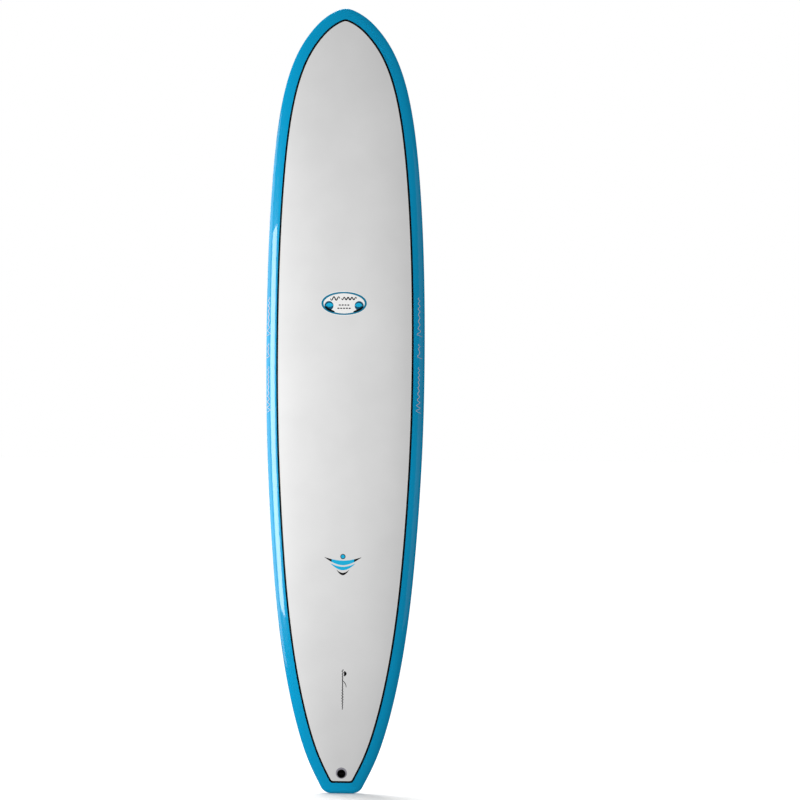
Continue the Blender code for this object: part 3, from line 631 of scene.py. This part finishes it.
# a paler copy of the box plastic: painted highlight for the boxes' lit rims
BOX_RIM_HIGHLIGHT = moulded_plastic("pale_box_rim_highlight", (0.70, 0.64, 0.60), flecks=0.08)
BLACK_PLASTIC = moulded_plastic("black_plug_plastic", (0.008, 0.008, 0.009), (0.25, 0.4), flecks=0.2)
GREY_PLASTIC = moulded_plastic("grey_ring_plastic", (0.33, 0.32, 0.37), (0.3, 0.45), flecks=0.06)
STEEL = turned_steel("stainless_steel")
TEAL_INK = printed("teal_ink", (0.000, 0.205, 0.350))
DEEP_TEAL_INK = printed("deep_teal_ink", (0.003, 0.090, 0.170))
CYAN_INK = printed("cyan_ink", (0.000, 0.480, 0.790))
BLACK_INK = printed("black_ink", (0.005, 0.005, 0.006))
GREY_INK = printed("grey_ink", (0.030, 0.028, 0.032))
WHITE_INK = printed("white_ink", (0.94, 0.94, 0.93))
ROSE_INK = printed("rose_white_ink", (0.70, 0.55, 0.57))
COPPER_INK = printed("pale_copper_ink", (0.56, 0.38, 0.31))
RED_INK = printed("red_ink", (0.60, 0.035, 0.030))


# --- Hull ---
def make_shell():
    """The blue shell: bottom, rails and the deck's edge up to the pinline."""
    deck_side = [(inset, "deck", 0.0) for inset in insets(PINLINE_OUTER, RAIL_RINGS)]
    bottom_side = [(inset, "bottom", 0.0) for inset in insets(RAIL_BAND, BOTTOM_RINGS)]
    inner = [(PINLINE_OUTER * share, "deck", SKIN) for share in (1.0, 0.4, 0.0)]
    inner += [(RAIL_BAND * share, "bottom", SKIN) for share in (0.1, 0.5, 1.0)]
    return lofted("rail_and_bottom_shell", inner[::-1] + deck_side[::-1] + bottom_side[1:], BLUE)


def make_deck():
    """The light grey deck panel inside the pinline."""
    return lofted("deck_panel", [(PINLINE_INNER, "deck", SKIN), (PINLINE_INNER, "deck", 0.0)], DECK)


def make_line(name, outer, inner, proud, material):
    """A flat line laid right round the deck between two insets."""
    rings = [(outer + (inner - outer) * share, "deck", -proud) for share in shares(4)]
    rings += [(inner, "deck", SKIN), (outer, "deck", SKIN)]
    return lofted(name, rings, material, caps=False)


def frame_at(centre, *axes):
    """Return the frame with this centre and these three axes."""
    return Matrix.Translation(centre) @ Matrix(axes).transposed().to_4x4()


def frame_from_box(node, middle_y):
    """Return the frame of a fitting on the flat of the bottom: y out of it, z towards the nose."""
    low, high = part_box(node)
    normal = Vector(MOUNTS["centre_fin_seat"]["axis"]).normalized()
    along = Vector((0.0, -normal.z, normal.y))
    return frame_at((low + high) / 2 - middle_y * normal, SIDEWAYS, normal, along)


def fit_centre_box(shell):
    """The long fin box: rim, slot, grooves for the plate, and the wide mouth."""
    matrix = frame_from_box("centre_fin_box", BOX_FLOOR_Y / 2)
    box = prism("long_fin_box", matrix, BOX_BODY, BOX_FLOOR_Y, BOX_TOP_Y, BOX_PLASTIC, BOX_RIM_HIGHLIGHT, radius=0.006)
    low = BOX_TOP_Y - LIP_DEPTH
    shape_with(box, "UNION", [
        prism("lip", matrix, BOX_LIP, low, 0.0),
        prism("mouth_lip", matrix, BOX_MOUTH_LIP, low, 0.0, radius=0.004),
    ])
    shape_with(box, "DIFFERENCE", [
        prism("slot", matrix, BOX_SLOT, BOX_SLOT_FLOOR_Y, CUTTER_REACH),
        prism("groove", matrix, BOX_GROOVE, *BOX_GROOVE_Y, radius=0.003),
        prism("mouth", matrix, BOX_MOUTH, BOX_GROOVE_Y[0], CUTTER_REACH, radius=0.003),
    ], bevel=0.0005)
    paint_rim_highlights(box, matrix)
    place(box, "centre_fin_box", slot="box_plastic")
    shape_with(shell, "DIFFERENCE", [
        prism("window", matrix, BOX_LIP, low, CUTTER_REACH, grow=WINDOW_GAP),
        prism("mouth_window", matrix, BOX_MOUTH_LIP, low, CUTTER_REACH, grow=WINDOW_GAP, radius=0.004),
    ])


def paint_rim_highlights(box, matrix):
    """Give a box's rim, which is sanded flush with the bottom, the paler material: a painted highlight along
    the box's lit edge.
    """
    inverse = matrix.inverted()
    for face in box.data.polygons:
        if (inverse @ face.center).y > -RIM_DEPTH:
            # painted highlight: the faces at the top of the box take the pale copy of the plastic
            face.material_index = 1


def screw_matrix(matrix, outboard, place_name):
    """Return the frame of one grub screw: z along its axis, out of the board."""
    offset, z = SCREW_PLACES[place_name]
    away = math.copysign(1.0, offset) * outboard
    axis = Vector((away * math.sin(SCREW_TILT), math.cos(SCREW_TILT), 0.0))
    turn = axis.to_track_quat("Z", "Y").to_matrix().to_4x4()
    return matrix @ Matrix.Translation((offset * outboard, 0.0, z)) @ turn


def make_screw(side_name, place_name, matrix):
    """A stainless grub screw: cup point, thread and hexagon socket."""
    end = -SCREW_SUNK - SCREW_LENGTH
    profile = [(0.0, end + 0.0006), (SCREW_RADIUS * 0.35, end + 0.0006), (SCREW_RADIUS * 0.55, end)]
    for i in range(int((SCREW_LENGTH - 2 * THREAD_PITCH) / THREAD_PITCH)):
        z = end + 0.0010 + i * THREAD_PITCH
        profile += [(SCREW_RADIUS - THREAD_GROOVE, z), (SCREW_RADIUS, z + THREAD_PITCH * 0.5)]
    profile += [(SCREW_RADIUS - 0.0004, -SCREW_SUNK), (0.0, -SCREW_SUNK)]
    name = f"{side_name}_{place_name}"
    screw = turned("screw_" + name, matrix, profile, STEEL, steps=48)
    socket = rod(SOCKET_RADIUS, -SCREW_SUNK - SOCKET_DEPTH, 0.001)
    shape_with(screw, "DIFFERENCE", [turned("socket", matrix, socket, steps=6)])
    node = "grub_screw_" + name
    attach(screw, node)
    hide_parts(node)


def fit_side_box(side_name, outboard, shell):
    """One side fin box: two slots with round ends, and two collars with their screws."""
    matrix = frame_from_box(side_name + "_fin_box", SIDE_BODY_FLOOR_Y / 2)
    low = SIDE_BODY_TOP_Y - LIP_DEPTH
    name = side_name + "_side_fin_box"
    box = prism(name, matrix, SIDE_BODY, SIDE_BODY_FLOOR_Y, SIDE_BODY_TOP_Y, SIDE_PLASTIC, BOX_RIM_HIGHLIGHT)
    lips, cuts, windows = [], [], []
    collar = (2 * COLLAR_RADIUS, 2 * COLLAR_RADIUS)
    for place_name, (z, length) in SIDE_SLOTS.items():
        slot = (SIDE_SLOT_WIDTH, length)
        at = (0.0, z)
        lips.append(prism("lip", matrix, slot, low, 0.0, grow=SIDE_LIP_RIM, at=at))
        window_grow = SIDE_LIP_RIM + WINDOW_GAP
        windows.append(prism("window", matrix, slot, low, CUTTER_REACH, grow=window_grow, at=at))
        cuts.append(prism("slot", matrix, slot, SIDE_SLOT_FLOOR_Y, CUTTER_REACH, at=at))
        offset, screw_z = SCREW_PLACES[place_name]
        collar_at = (offset * outboard, screw_z)
        lips.append(prism("collar", matrix, collar, low, 0.0, at=collar_at))
        windows.append(prism("port", matrix, collar, low, CUTTER_REACH, grow=WINDOW_GAP, at=collar_at))
        axis = screw_matrix(matrix, outboard, place_name)
        hole = rod(SCREW_HOLE_RADIUS, -SCREW_HOLE_DEPTH, 0.004)
        cuts.append(turned("hole", axis, hole, steps=40))
        make_screw(side_name, place_name, axis)
    shape_with(box, "UNION", lips)
    shape_with(box, "DIFFERENCE", cuts, bevel=0.0003)
    paint_rim_highlights(box, matrix)
    place(box, side_name + "_fin_box", slot="box_plastic")
    shape_with(shell, "DIFFERENCE", windows)


def rod(radius, low, high):
    """Return the profile of a plain round rod."""
    return [(0.0, low), (radius, low), (radius, high), (0.0, high)]


def well(radius):
    """Return the profile of a round cutter that reaches through the deck skin."""
    return rod(radius, -0.0025, CUTTER_REACH)


def fit_leash_plug(deck):
    """The leash plug: black cup, grey ring and the bar across the cup."""
    normal = Vector(MOUNTS["leash_plug_face"]["axis"]).normalized()
    low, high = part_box("leash_plug_cup")
    centre = (low + high) / 2 - (RIM_PROUD - CUP_DEPTH) / 2 * normal
    matrix = frame_at(centre, SIDEWAYS, normal.cross(SIDEWAYS), normal)
    floor = CUP_FLOOR - CUP_DEPTH
    inner, outer, edge = 0.003, 0.0008, 0.0010
    fillet = arc(CUP_BORE - inner, floor + inner, inner, 0, -90, 6)
    rim = arc(CUP_RADIUS - outer, RIM_PROUD - outer, outer, 0, 90, 5)
    mouth = arc(CUP_BORE + edge, RIM_PROUD - edge, edge, 90, 180, 5)
    profile = [(0.0, -CUP_DEPTH), (CUP_RADIUS, -CUP_DEPTH)] + rim + mouth + fillet + [(0.0, floor)]
    cup = turned("leash_cup", matrix, profile, BLACK_PLASTIC, steps=96)
    across = matrix @ Matrix.Translation((0.0, 0.0, -BAR_SUNK)) @ Matrix.Rotation(math.pi / 2, 4, "Y")
    reach = 0.02
    hole = rod(BAR_RADIUS + 0.0003, -reach, reach)
    shape_with(cup, "DIFFERENCE", [turned("bar_hole", across, hole, steps=32)])
    place(cup, "leash_plug_cup", slot="black_plastic")

    half = BAR_LENGTH / 2
    chamfer = 0.0004
    bar = [(0.0, -half), (BAR_RADIUS - chamfer, -half), (BAR_RADIUS, -half + chamfer)]
    bar += [(BAR_RADIUS, half - chamfer), (BAR_RADIUS - chamfer, half), (0.0, half)]
    place(turned("leash_bar", across, bar, BLACK_PLASTIC, steps=40), "leash_plug_bar", slot="black_plastic")

    dome = [(RING_RADIUS + 0.0012 * (x - 1), 0.0006 * z - 0.0002) for x, z in arc(0.0, 0.0, 1.0, 0, 90, 5)]
    disc = [(0.0, -RING_DEPTH), (RING_RADIUS, -RING_DEPTH)] + dome + [(0.0, 0.0004)]
    ring_matrix = matrix @ Matrix.Translation((0.0, RING_OFFSET, 0.0))
    ring = turned("leash_ring", ring_matrix, disc, GREY_PLASTIC, steps=96)
    shape_with(ring, "DIFFERENCE", [turned("bore", matrix, well(CUP_RADIUS + WINDOW_GAP), steps=96)])
    place(ring, "leash_plug_ring", slot="grey_plastic")
    tool = turned("ring_well", ring_matrix, well(RING_RADIUS + WINDOW_GAP), steps=96)
    shape_with(deck, "DIFFERENCE", [tool])


# --- Printed marks: generic shapes, no lettering ---
def ribbon(name, side, path, widths, material, lift=0.00025, closed=False, *, slot, nodes=()):
    """Lay a thin flat stroke along plan points (x, d) on one face, with a width at each point."""
    bm = bmesh.new()
    sections = []
    count = len(path)
    for i, (point, width) in enumerate(zip(path, widths)):
        before = path[i - 1] if closed or i > 0 else path[i]
        after = path[(i + 1) % count] if closed or i < count - 1 else path[i]
        along = (Vector(after) - Vector(before)).normalized()
        offset = Vector((-along.y, along.x)) * width / 2
        left = Vector(point) + offset
        right = Vector(point) - offset
        corners = ((left, lift), (right, lift), (right, STROKE_UNDERSIDE), (left, STROKE_UNDERSIDE))
        sections.append([bm.verts.new(surface_point(p.x, p.y, side, height)) for p, height in corners])
    for a, b in zip(sections, sections[1:] + (sections[:1] if closed else [])):
        bridge(bm, a, b)
    if not closed:
        bm.faces.new(sections[0])
        bm.faces.new(sections[-1])
    place(make_object(bm, name, material), *nodes, slot=slot)


def patch(name, side, columns, material, lift=0.00015, rows=6, *, slot, nodes=()):
    """Lay a thin flat shape on one face, from columns (x, first d, last d)."""
    bm = bmesh.new()
    layers = []
    for height in (lift, PATCH_UNDERSIDE):
        layers.append([
            [bm.verts.new(surface_point(x, a + (b - a) * j / rows, side, height)) for j in range(rows + 1)]
            for x, a, b in columns
        ])
    for layer in layers:
        for a, b in zip(layer, layer[1:]):
            bridge(bm, a, b, closed=False)
    rims = []
    for layer in layers:
        far = [column[-1] for column in layer[1:]]
        near = [column[0] for column in layer[-2:0:-1]]
        rims.append(layer[0] + far + layer[-1][-2::-1] + near)
    bridge(bm, *rims)
    bmesh.ops.remove_doubles(bm, verts=bm.verts, dist=1e-6)
    place(make_object(bm, name, material), *nodes, slot=slot)


def oval(x, d, width, length, steps=48):
    """Return the plan points of an ellipse."""
    turns = [2 * math.pi * i / steps for i in range(steps)]
    return [(x + width / 2 * math.cos(t), d + length / 2 * math.sin(t)) for t in turns]


def oval_columns(x, d, width, length, steps=36):
    """Return the columns of a filled ellipse."""
    columns = []
    for share in shares(steps):
        half = length / 2 * math.sin(math.pi * share)
        columns.append((x - width / 2 * math.cos(math.pi * share), d - half, d + half))
    return columns


def pill_columns(x, d, width, length, steps=10):
    """Return the columns of a bar with round ends."""
    radius = length / 2
    columns = []
    for sign in (-1, 1):
        for share in shares(steps):
            angle = math.pi / 2 * (share if sign < 0 else 1 - share)
            half = radius * math.sin(angle)
            columns.append((x + sign * (width / 2 - radius + radius * math.cos(angle)), d - half, d + half))
    return columns


def crescent_columns(x, d, width, length, full, steps=40):
    """Return the columns of a crescent whose tips point to the nose."""
    columns = []
    for share in shares(steps):
        rise = 1 - abs(2 * share - 1) ** 1.8
        top = d - length / 2 + length * rise
        columns.append((x + (share - 0.5) * width, top - length * full * rise, top))
    return columns


def wave(x, d, width, height, count, steps=60):
    """Return a wavy line across the board."""
    return [(x + width * (s - 0.5), d + height / 2 * math.sin(2 * math.pi * count * s))
            for s in shares(steps)]


def tapered(count, middle, ends=0.25):
    """Return stroke widths that thin out towards both ends."""
    return [middle * (ends + (1 - ends) * math.sin(math.pi * i / (count - 1)) ** 0.6) for i in range(count)]


def fit_badge(label, side, node, size, rim_share, inks, slot):
    """A plain oval badge: rim, field, two wave roundels, two wavy lines and two rows of dashes."""
    x, d, width, length = size
    rim, field, roundel, crests, shadow, line = inks
    facing = 1 if side == "deck" else -1
    border = 0.0055
    if field:
        columns = oval_columns(x, d, width + border, length + border, 48)
        patch(label + "_field", side, columns, field, 0.0001, slot=slot)
    outline = oval(x, d, width - BADGE_RIM, length - BADGE_RIM, 96)
    widths = [rim_share * (0.0052 + 0.0026 * abs(math.cos(2 * math.pi * i / 96))) for i in range(96)]
    ribbon(label + "_rim", side, outline, widths, rim, TOP_INK, closed=True, slot=slot, nodes=[node])
    for sign, hand in ((-1, "left"), (1, "right")):
        name = f"{label}_roundel_{hand}"
        middle_x = x + sign * width * 0.335
        middle_d = d + length * 0.10
        disc = oval_columns(middle_x, middle_d, width * 0.20, length * 0.40)
        patch(name, side, disc, roundel, INK, slot=slot)
        for k in range(3):
            radius = length * (0.16 - 0.052 * k)
            turns = (200, 340) if sign > 0 else (340, 200)
            crest = arc(middle_x - sign * 0.002, middle_d + 0.006, radius, *turns)
            ribbon(f"{name}_crest_{k}", side, crest, tapered(25, 0.0050, 0.3), crests, TOP_INK, slot=slot)
        under = [(x + sign * (width / 2 - 0.009) * across, d + (length / 2 - 0.008) * along)
                 for across, along in arc(0.0, 0.0, 1.0, 18, 62)]
        ribbon(name + "_shadow", side, under, tapered(25, 0.0085, 0.3), shadow, 0.0004, slot=slot)
    for run, (middle, share, count) in enumerate(((-0.20, 0.21, 2), (0.11, 0.34, 4))):
        middle_x = x + facing * width * middle
        upper = wave(middle_x, d - length * 0.21, width * share, 0.0125 - 0.0035 * run, count)
        widths = tapered(len(upper), 0.0044, 0.5)
        ribbon(f"{label}_wave_{run}", side, upper, widths, line, TOP_INK, slot=slot)
    for row, count in enumerate((4, 5)):
        for k in range(count):
            dash_x = x + 0.0105 * (k - (count - 1) / 2)
            dash = pill_columns(dash_x, d + length * (0.07 + 0.14 * row), 0.0080, 0.0044, 6)
            patch(f"{label}_dash_{row}_{k}", side, dash, line, INK, rows=2, slot=slot)


def fit_emblem(label, side, node, size, body, tips, slot):
    """A sun over ripples: three nested crescents, the widest with dark tips, under a small disc."""
    x, d, width = size
    for k in range(3):
        length = 0.030 - 0.005 * k
        columns = crescent_columns(x, d + 0.021 * k, width * (1 - 0.33 * k), length, 0.56 - 0.06 * k)
        if k == 0:
            cut = len(columns) // 5
            for hand, tip in (("left", columns[:cut + 1]), ("right", columns[-cut - 1:])):
                patch(f"{label}_tip_{hand}", side, tip, tips, 0.00021, rows=2, slot=slot)
            columns = columns[cut:-cut]
        ink = body if k < 2 else tips
        nodes = [node] if k == 0 else []
        patch(f"{label}_crescent_{k}", side, columns, ink, INK, rows=3, slot=slot, nodes=nodes)
    sun_d, across = d - 0.017, 0.0165
    patch(label + "_sun", side, oval_columns(x, sun_d, across, across), body, INK, slot=slot)
    rim = oval(x, sun_d, across, across, 40)
    ribbon(label + "_sun_rim", side, rim, [0.0026] * 40, tips, TOP_INK, closed=True, slot=slot)


def fit_deck_signature():
    """A ripple line down the middle of the deck, with a half disc and a curved tick beside it."""
    first_d, length = DECK_LINE
    steps = 220
    line = []
    for s in shares(steps):
        swell = 0.6 + 0.4 * math.cos(9.0 * s)
        line.append((0.0024 + 0.0022 * math.sin(2 * math.pi * 15 * s) * swell, first_d + length * s))
    ribbon("deck_ripple_line", "deck", line, tapered(steps + 1, 0.0031, 0.7), GREY_INK, slot="black_print")
    tick = arc(-0.014, first_d + 0.067, 0.030, -62, 0, 20)
    ribbon("deck_tick", "deck", tick, tapered(21, 0.0026), GREY_INK, slot="black_print")
    radius = 0.0095
    middle = first_d + 0.016
    columns = [(0.0075 + across, middle - half, middle + half)
               for half, across in arc(0.0, 0.0, radius, 0, 90, 14)]
    patch("deck_half_disc", "deck", columns, BLACK_INK, slot="black_print")


def fit_bottom_marks():
    """The small marks on the bottom: a ring and dot, a two-tone capsule, and a comb, dot and line."""
    white, black = "white_print", "black_print"
    ring = oval(0.0, ROUND_MARK_AT, 0.042, 0.042, 64)
    ribbon("round_mark_ring", "bottom", ring, [0.0074] * 64, BLACK_INK, TOP_INK, closed=True,
           slot=black, nodes=["bottom_round_mark"])
    dot = oval_columns(0.0, ROUND_MARK_AT, 0.024, 0.024)
    patch("round_mark_dot", "bottom", dot, BLACK_INK, slot=black)

    edge = pill_columns(0.0, CAPSULE_AT + 0.0015, 0.070, 0.020)
    patch("capsule_edge", "bottom", edge, BLACK_INK, 0.0001, slot=black)
    pill = pill_columns(0.0, CAPSULE_AT, 0.065, 0.0145)
    half = len(pill) // 2
    middle = (0.0, pill[half][1], pill[half][2])
    patch("capsule_red", "bottom", pill[:half] + [middle], RED_INK, INK, slot=white)
    patch("capsule_white", "bottom", [middle] + pill[half:], WHITE_INK, INK,
          slot=white, nodes=["bottom_capsule_mark"])

    teeth, pitch, tooth, base, height, step = 9, 0.0083, 0.0034, 0.0010, 0.0080, 0.0001
    comb = []
    for k in range(teeth):
        left = pitch * (k - (teeth - 1) / 2) - tooth / 2
        right = left + tooth
        for x, tall in ((left, base), (left + step, height), (right - step, height), (right, base)):
            comb.append((x, COMB_AT - tall, COMB_AT))
    patch("tail_comb", "bottom", comb, WHITE_INK, rows=2, slot=white, nodes=["tail_mark"])
    dot = oval_columns(0.0, TAIL_DOT_AT, 0.010, 0.005)
    patch("tail_dot", "bottom", dot, WHITE_INK, slot=white)
    line = pill_columns(0.0, TAIL_LINE_AT, 0.0385, 0.0019)
    patch("tail_line", "bottom", line, WHITE_INK, slot=white)


def fit_rail_stripes():
    """Three runs of a thin wavy stripe along each rail, level with the badge, taller at their tail ends."""
    first_d, stretch = STRIPE
    steps = 150
    for sign, hand, middle, height in ((1, "right", 0.0200, 0.0105), (-1, "left", 0.0095, 0.0085)):
        for run, (start, stop) in enumerate(((0.00, 0.34), (0.40, 0.53), (0.60, 1.00))):
            waves = round((stop - start) * 22)
            points = []
            for s in shares(steps):
                swing = height * (0.30 + 0.70 * s**5) * (0.8 + 0.2 * math.sin(7.3 * s + run))
                plan = side_point(first_d + stretch * (start + (stop - start) * s),
                                  middle + swing * math.sin(2 * math.pi * waves * s + 1.6 * math.sin(5 * s)))
                points.append((sign * plan.x, plan.y))
            name = f"rail_stripe_{hand}_{run}"
            ribbon(name, "deck", points, tapered(steps + 1, 0.0021, 0.5), ROSE_INK, INK, slot="white_print")


def fit_marks():
    """All the printed marks on the deck, the bottom and the rails."""
    deck_inks = (TEAL_INK, WHITE_INK, DEEP_TEAL_INK, CYAN_INK, BLACK_INK, GREY_INK)
    bottom_inks = (COPPER_INK, None, BLACK_INK, WHITE_INK, BLACK_INK, BLACK_INK)
    fit_badge("deck_badge_print", "deck", "deck_badge", DECK_BADGE, 1.0, deck_inks, "teal_print")
    fit_badge("bottom_badge_print", "bottom", "bottom_badge", BOTTOM_BADGE, 0.58, bottom_inks, "white_print")
    fit_emblem("deck_ripple", "deck", "deck_emblem", DECK_EMBLEM, CYAN_INK, BLACK_INK, "teal_print")
    white_on_black = (WHITE_INK, BLACK_INK, "white_print")
    fit_emblem("bottom_ripple", "bottom", "bottom_emblem", BOTTOM_EMBLEM, *white_on_black)
    fit_deck_signature()
    fit_bottom_marks()
    fit_rail_stripes()


# --- Room: plain floor, soft studio light, camera ---
FRAME_HEIGHT = 2.963        # metres that the picture's height shows, at the board
LENS = 135.0
SENSOR = 36.0
CAMERA_SIDE = 0.206         # the board stands a little left of the picture's middle
CAMERA_Z = 1.4560
CAMERA_YAW = math.radians(3.0)
CAMERA_ROLL = math.radians(-0.375)
SURROUND_LIGHT = 0.485
SURROUND_IN_GLOSS = 0.02


def make_room():
    """The floor that the board stands on. It doesn't show in the gloss or light the board."""
    bm = bmesh.new()
    reach = 60.0
    corners = ((-reach, -reach), (reach, -reach), (reach, reach), (-reach, reach))
    bm.faces.new([bm.verts.new((x, y, LOW.z - 0.0005)) for x, y in corners])
    n = Nodes("studio_white")
    mottle = n.ramp(n.noise(1.5, 2.0), (0.3, (0.8955,) * 3), (0.7, (0.90,) * 3))
    white = n.finish(mottle, n.between(n.noise(8.0, 2.0), 0.85, 0.95))
    floor = make_object(bm, "studio_floor", white)
    floor.visible_glossy = False
    floor.visible_diffuse = False


def aim(lamp, direction):
    """Turn a lamp so that it shines in a direction."""
    lamp.rotation_euler = Vector(direction).to_track_quat("-Z", "Y").to_euler()


def area_light(name, location, target, size, power, spread=180.0):
    """A soft rectangular lamp of a size (width, height) that looks at a target."""
    data = bpy.data.lights.new(name, "AREA")
    data.shape = "RECTANGLE"
    data.size, data.size_y = size
    data.energy = power
    data.spread = math.radians(spread)
    lamp = add_object(name, data)
    lamp.location = location
    aim(lamp, Vector(target) - Vector(location))
    return lamp


def make_world():
    """A white surround to look at, soft light from all round, and a dimmer surround in the gloss."""
    world = bpy.data.worlds.new("studio")
    world.use_nodes = True
    tree = world.node_tree
    rays = tree.nodes.new("ShaderNodeLightPath")
    shader = tree.nodes["Background"]
    white = (1.0, 1.0, 1.0, 1.0)
    shader.inputs["Color"].default_value = white
    shader.inputs["Strength"].default_value = SURROUND_LIGHT
    for ray, strength in (("Is Glossy Ray", SURROUND_IN_GLOSS), ("Is Camera Ray", 1.0)):
        other = tree.nodes.new("ShaderNodeBackground")
        other.inputs["Color"].default_value = white
        other.inputs["Strength"].default_value = strength
        mix = tree.nodes.new("ShaderNodeMixShader")
        tree.links.new(rays.outputs[ray], mix.inputs["Fac"])
        tree.links.new(shader.outputs[0], mix.inputs[1])
        tree.links.new(other.outputs["Background"], mix.inputs[2])
        shader = mix
    tree.links.new(shader.outputs[0], tree.nodes["World Output"].inputs["Surface"])
    bpy.context.scene.world = world


def make_lights(shell):
    """Light from the left and behind, panels that only the shell's gloss shows, and light from above."""
    make_world()
    middle = (0.0, 0.0, 1.40)
    key = area_light("key_left", (-2.10, -1.50, 1.40), middle, (0.75, 2.1), 28.0, 120.0)
    key.visible_glossy = False
    area_light("back_softbox", (-1.9, 1.5, 1.5), middle, (0.8, 2.4), 11.5, 140.0)
    glossy_shell = bpy.data.collections.new("glossy_shell")
    glossy_shell.objects.link(shell)
    for name, place_at, size, power in (
        ("tall_softbox_left", (-2.02, -1.44, 1.30), (0.70, 1.64), 36.0),
        ("side_panel_left", (-2.60, -0.20, 1.40), (1.6, 2.8), 31.0),
        ("side_panel_right", (2.60, -1.20, 1.40), (1.6, 2.2), 3.5),
    ):
        panel = area_light(name, place_at, (0.0, 0.0, place_at[2]), size, power)
        panel.visible_diffuse = False
        panel.light_linking.receiver_collection = glossy_shell
    sun = bpy.data.lights.new("floor_light", "SUN")
    sun.energy = 2.75
    sun.angle = math.radians(40)
    aim(add_object("floor_light", sun), (0.22, -0.30, -1.0))


def make_camera():
    """A long lens, level with the middle of the board and almost square to the deck."""
    data = bpy.data.cameras.new("camera")
    data.sensor_width = SENSOR
    data.lens = LENS
    data.clip_end = 200.0
    camera = add_object("camera", data)
    distance = FRAME_HEIGHT * LENS / SENSOR
    turn = Matrix.Rotation(CAMERA_YAW, 4, "Z")
    upright = Matrix.Translation((CAMERA_SIDE, -distance, CAMERA_Z)) @ Matrix.Rotation(math.pi / 2, 4, "X")
    camera.matrix_world = turn @ upright @ Matrix.Rotation(-CAMERA_ROLL, 4, "Z")
    bpy.context.scene.camera = camera
    bpy.context.scene.view_settings.view_transform = "Standard"


def show_hidden_pieces():
    """Give the pieces inside the board, which the skins hide, their own foam materials."""
    core = moulded_plastic("bead_foam", (0.84, 0.84, 0.82), (0.8, 0.95), 0.0004, 0.04)
    sheet = moulded_plastic("sheet_foam", (0.70, 0.60, 0.36), (0.75, 0.9), 0.0001, 0.06)
    dense = moulded_plastic("dense_foam", (0.58, 0.46, 0.26), (0.75, 0.9), 0.0001, 0.06)
    foams = {"foam_core": core, "deck_foam_sheet": sheet, "bottom_foam_sheet": sheet}
    for name in ("centre_fin_box_block", "left_fin_box_pad", "right_fin_box_pad", "leash_plug_block"):
        foams[name] = dense
    for name, material in foams.items():
        for entry in frame["nodes"][name].material_slots:
            entry.material = material


def main():
    """Build every piece."""
    shell = make_shell()
    deck = make_deck()
    line = make_line("black_pinline", PINLINE_OUTER, PINLINE_INNER, 0.00006, BLACK_LINE)
    thin = make_line("white_hairline", PINLINE_INNER, PINLINE_INNER + HAIRLINE_WIDTH, 0.00008, WHITE_LINE)
    fit_centre_box(shell)
    fit_side_box("right", 1.0, shell)
    fit_side_box("left", -1.0, shell)
    fit_leash_plug(deck)
    place(shell, "bottom_rail_skin", slot="gloss_blue")
    place(deck, "deck_skin", slot="deck_laminate")
    place(line, "pinline", slot="black_line")
    place(thin, slot="white_print")
    fit_marks()
    show_hidden_pieces()
    make_room()
    make_lights(shell)
    make_camera()


main()
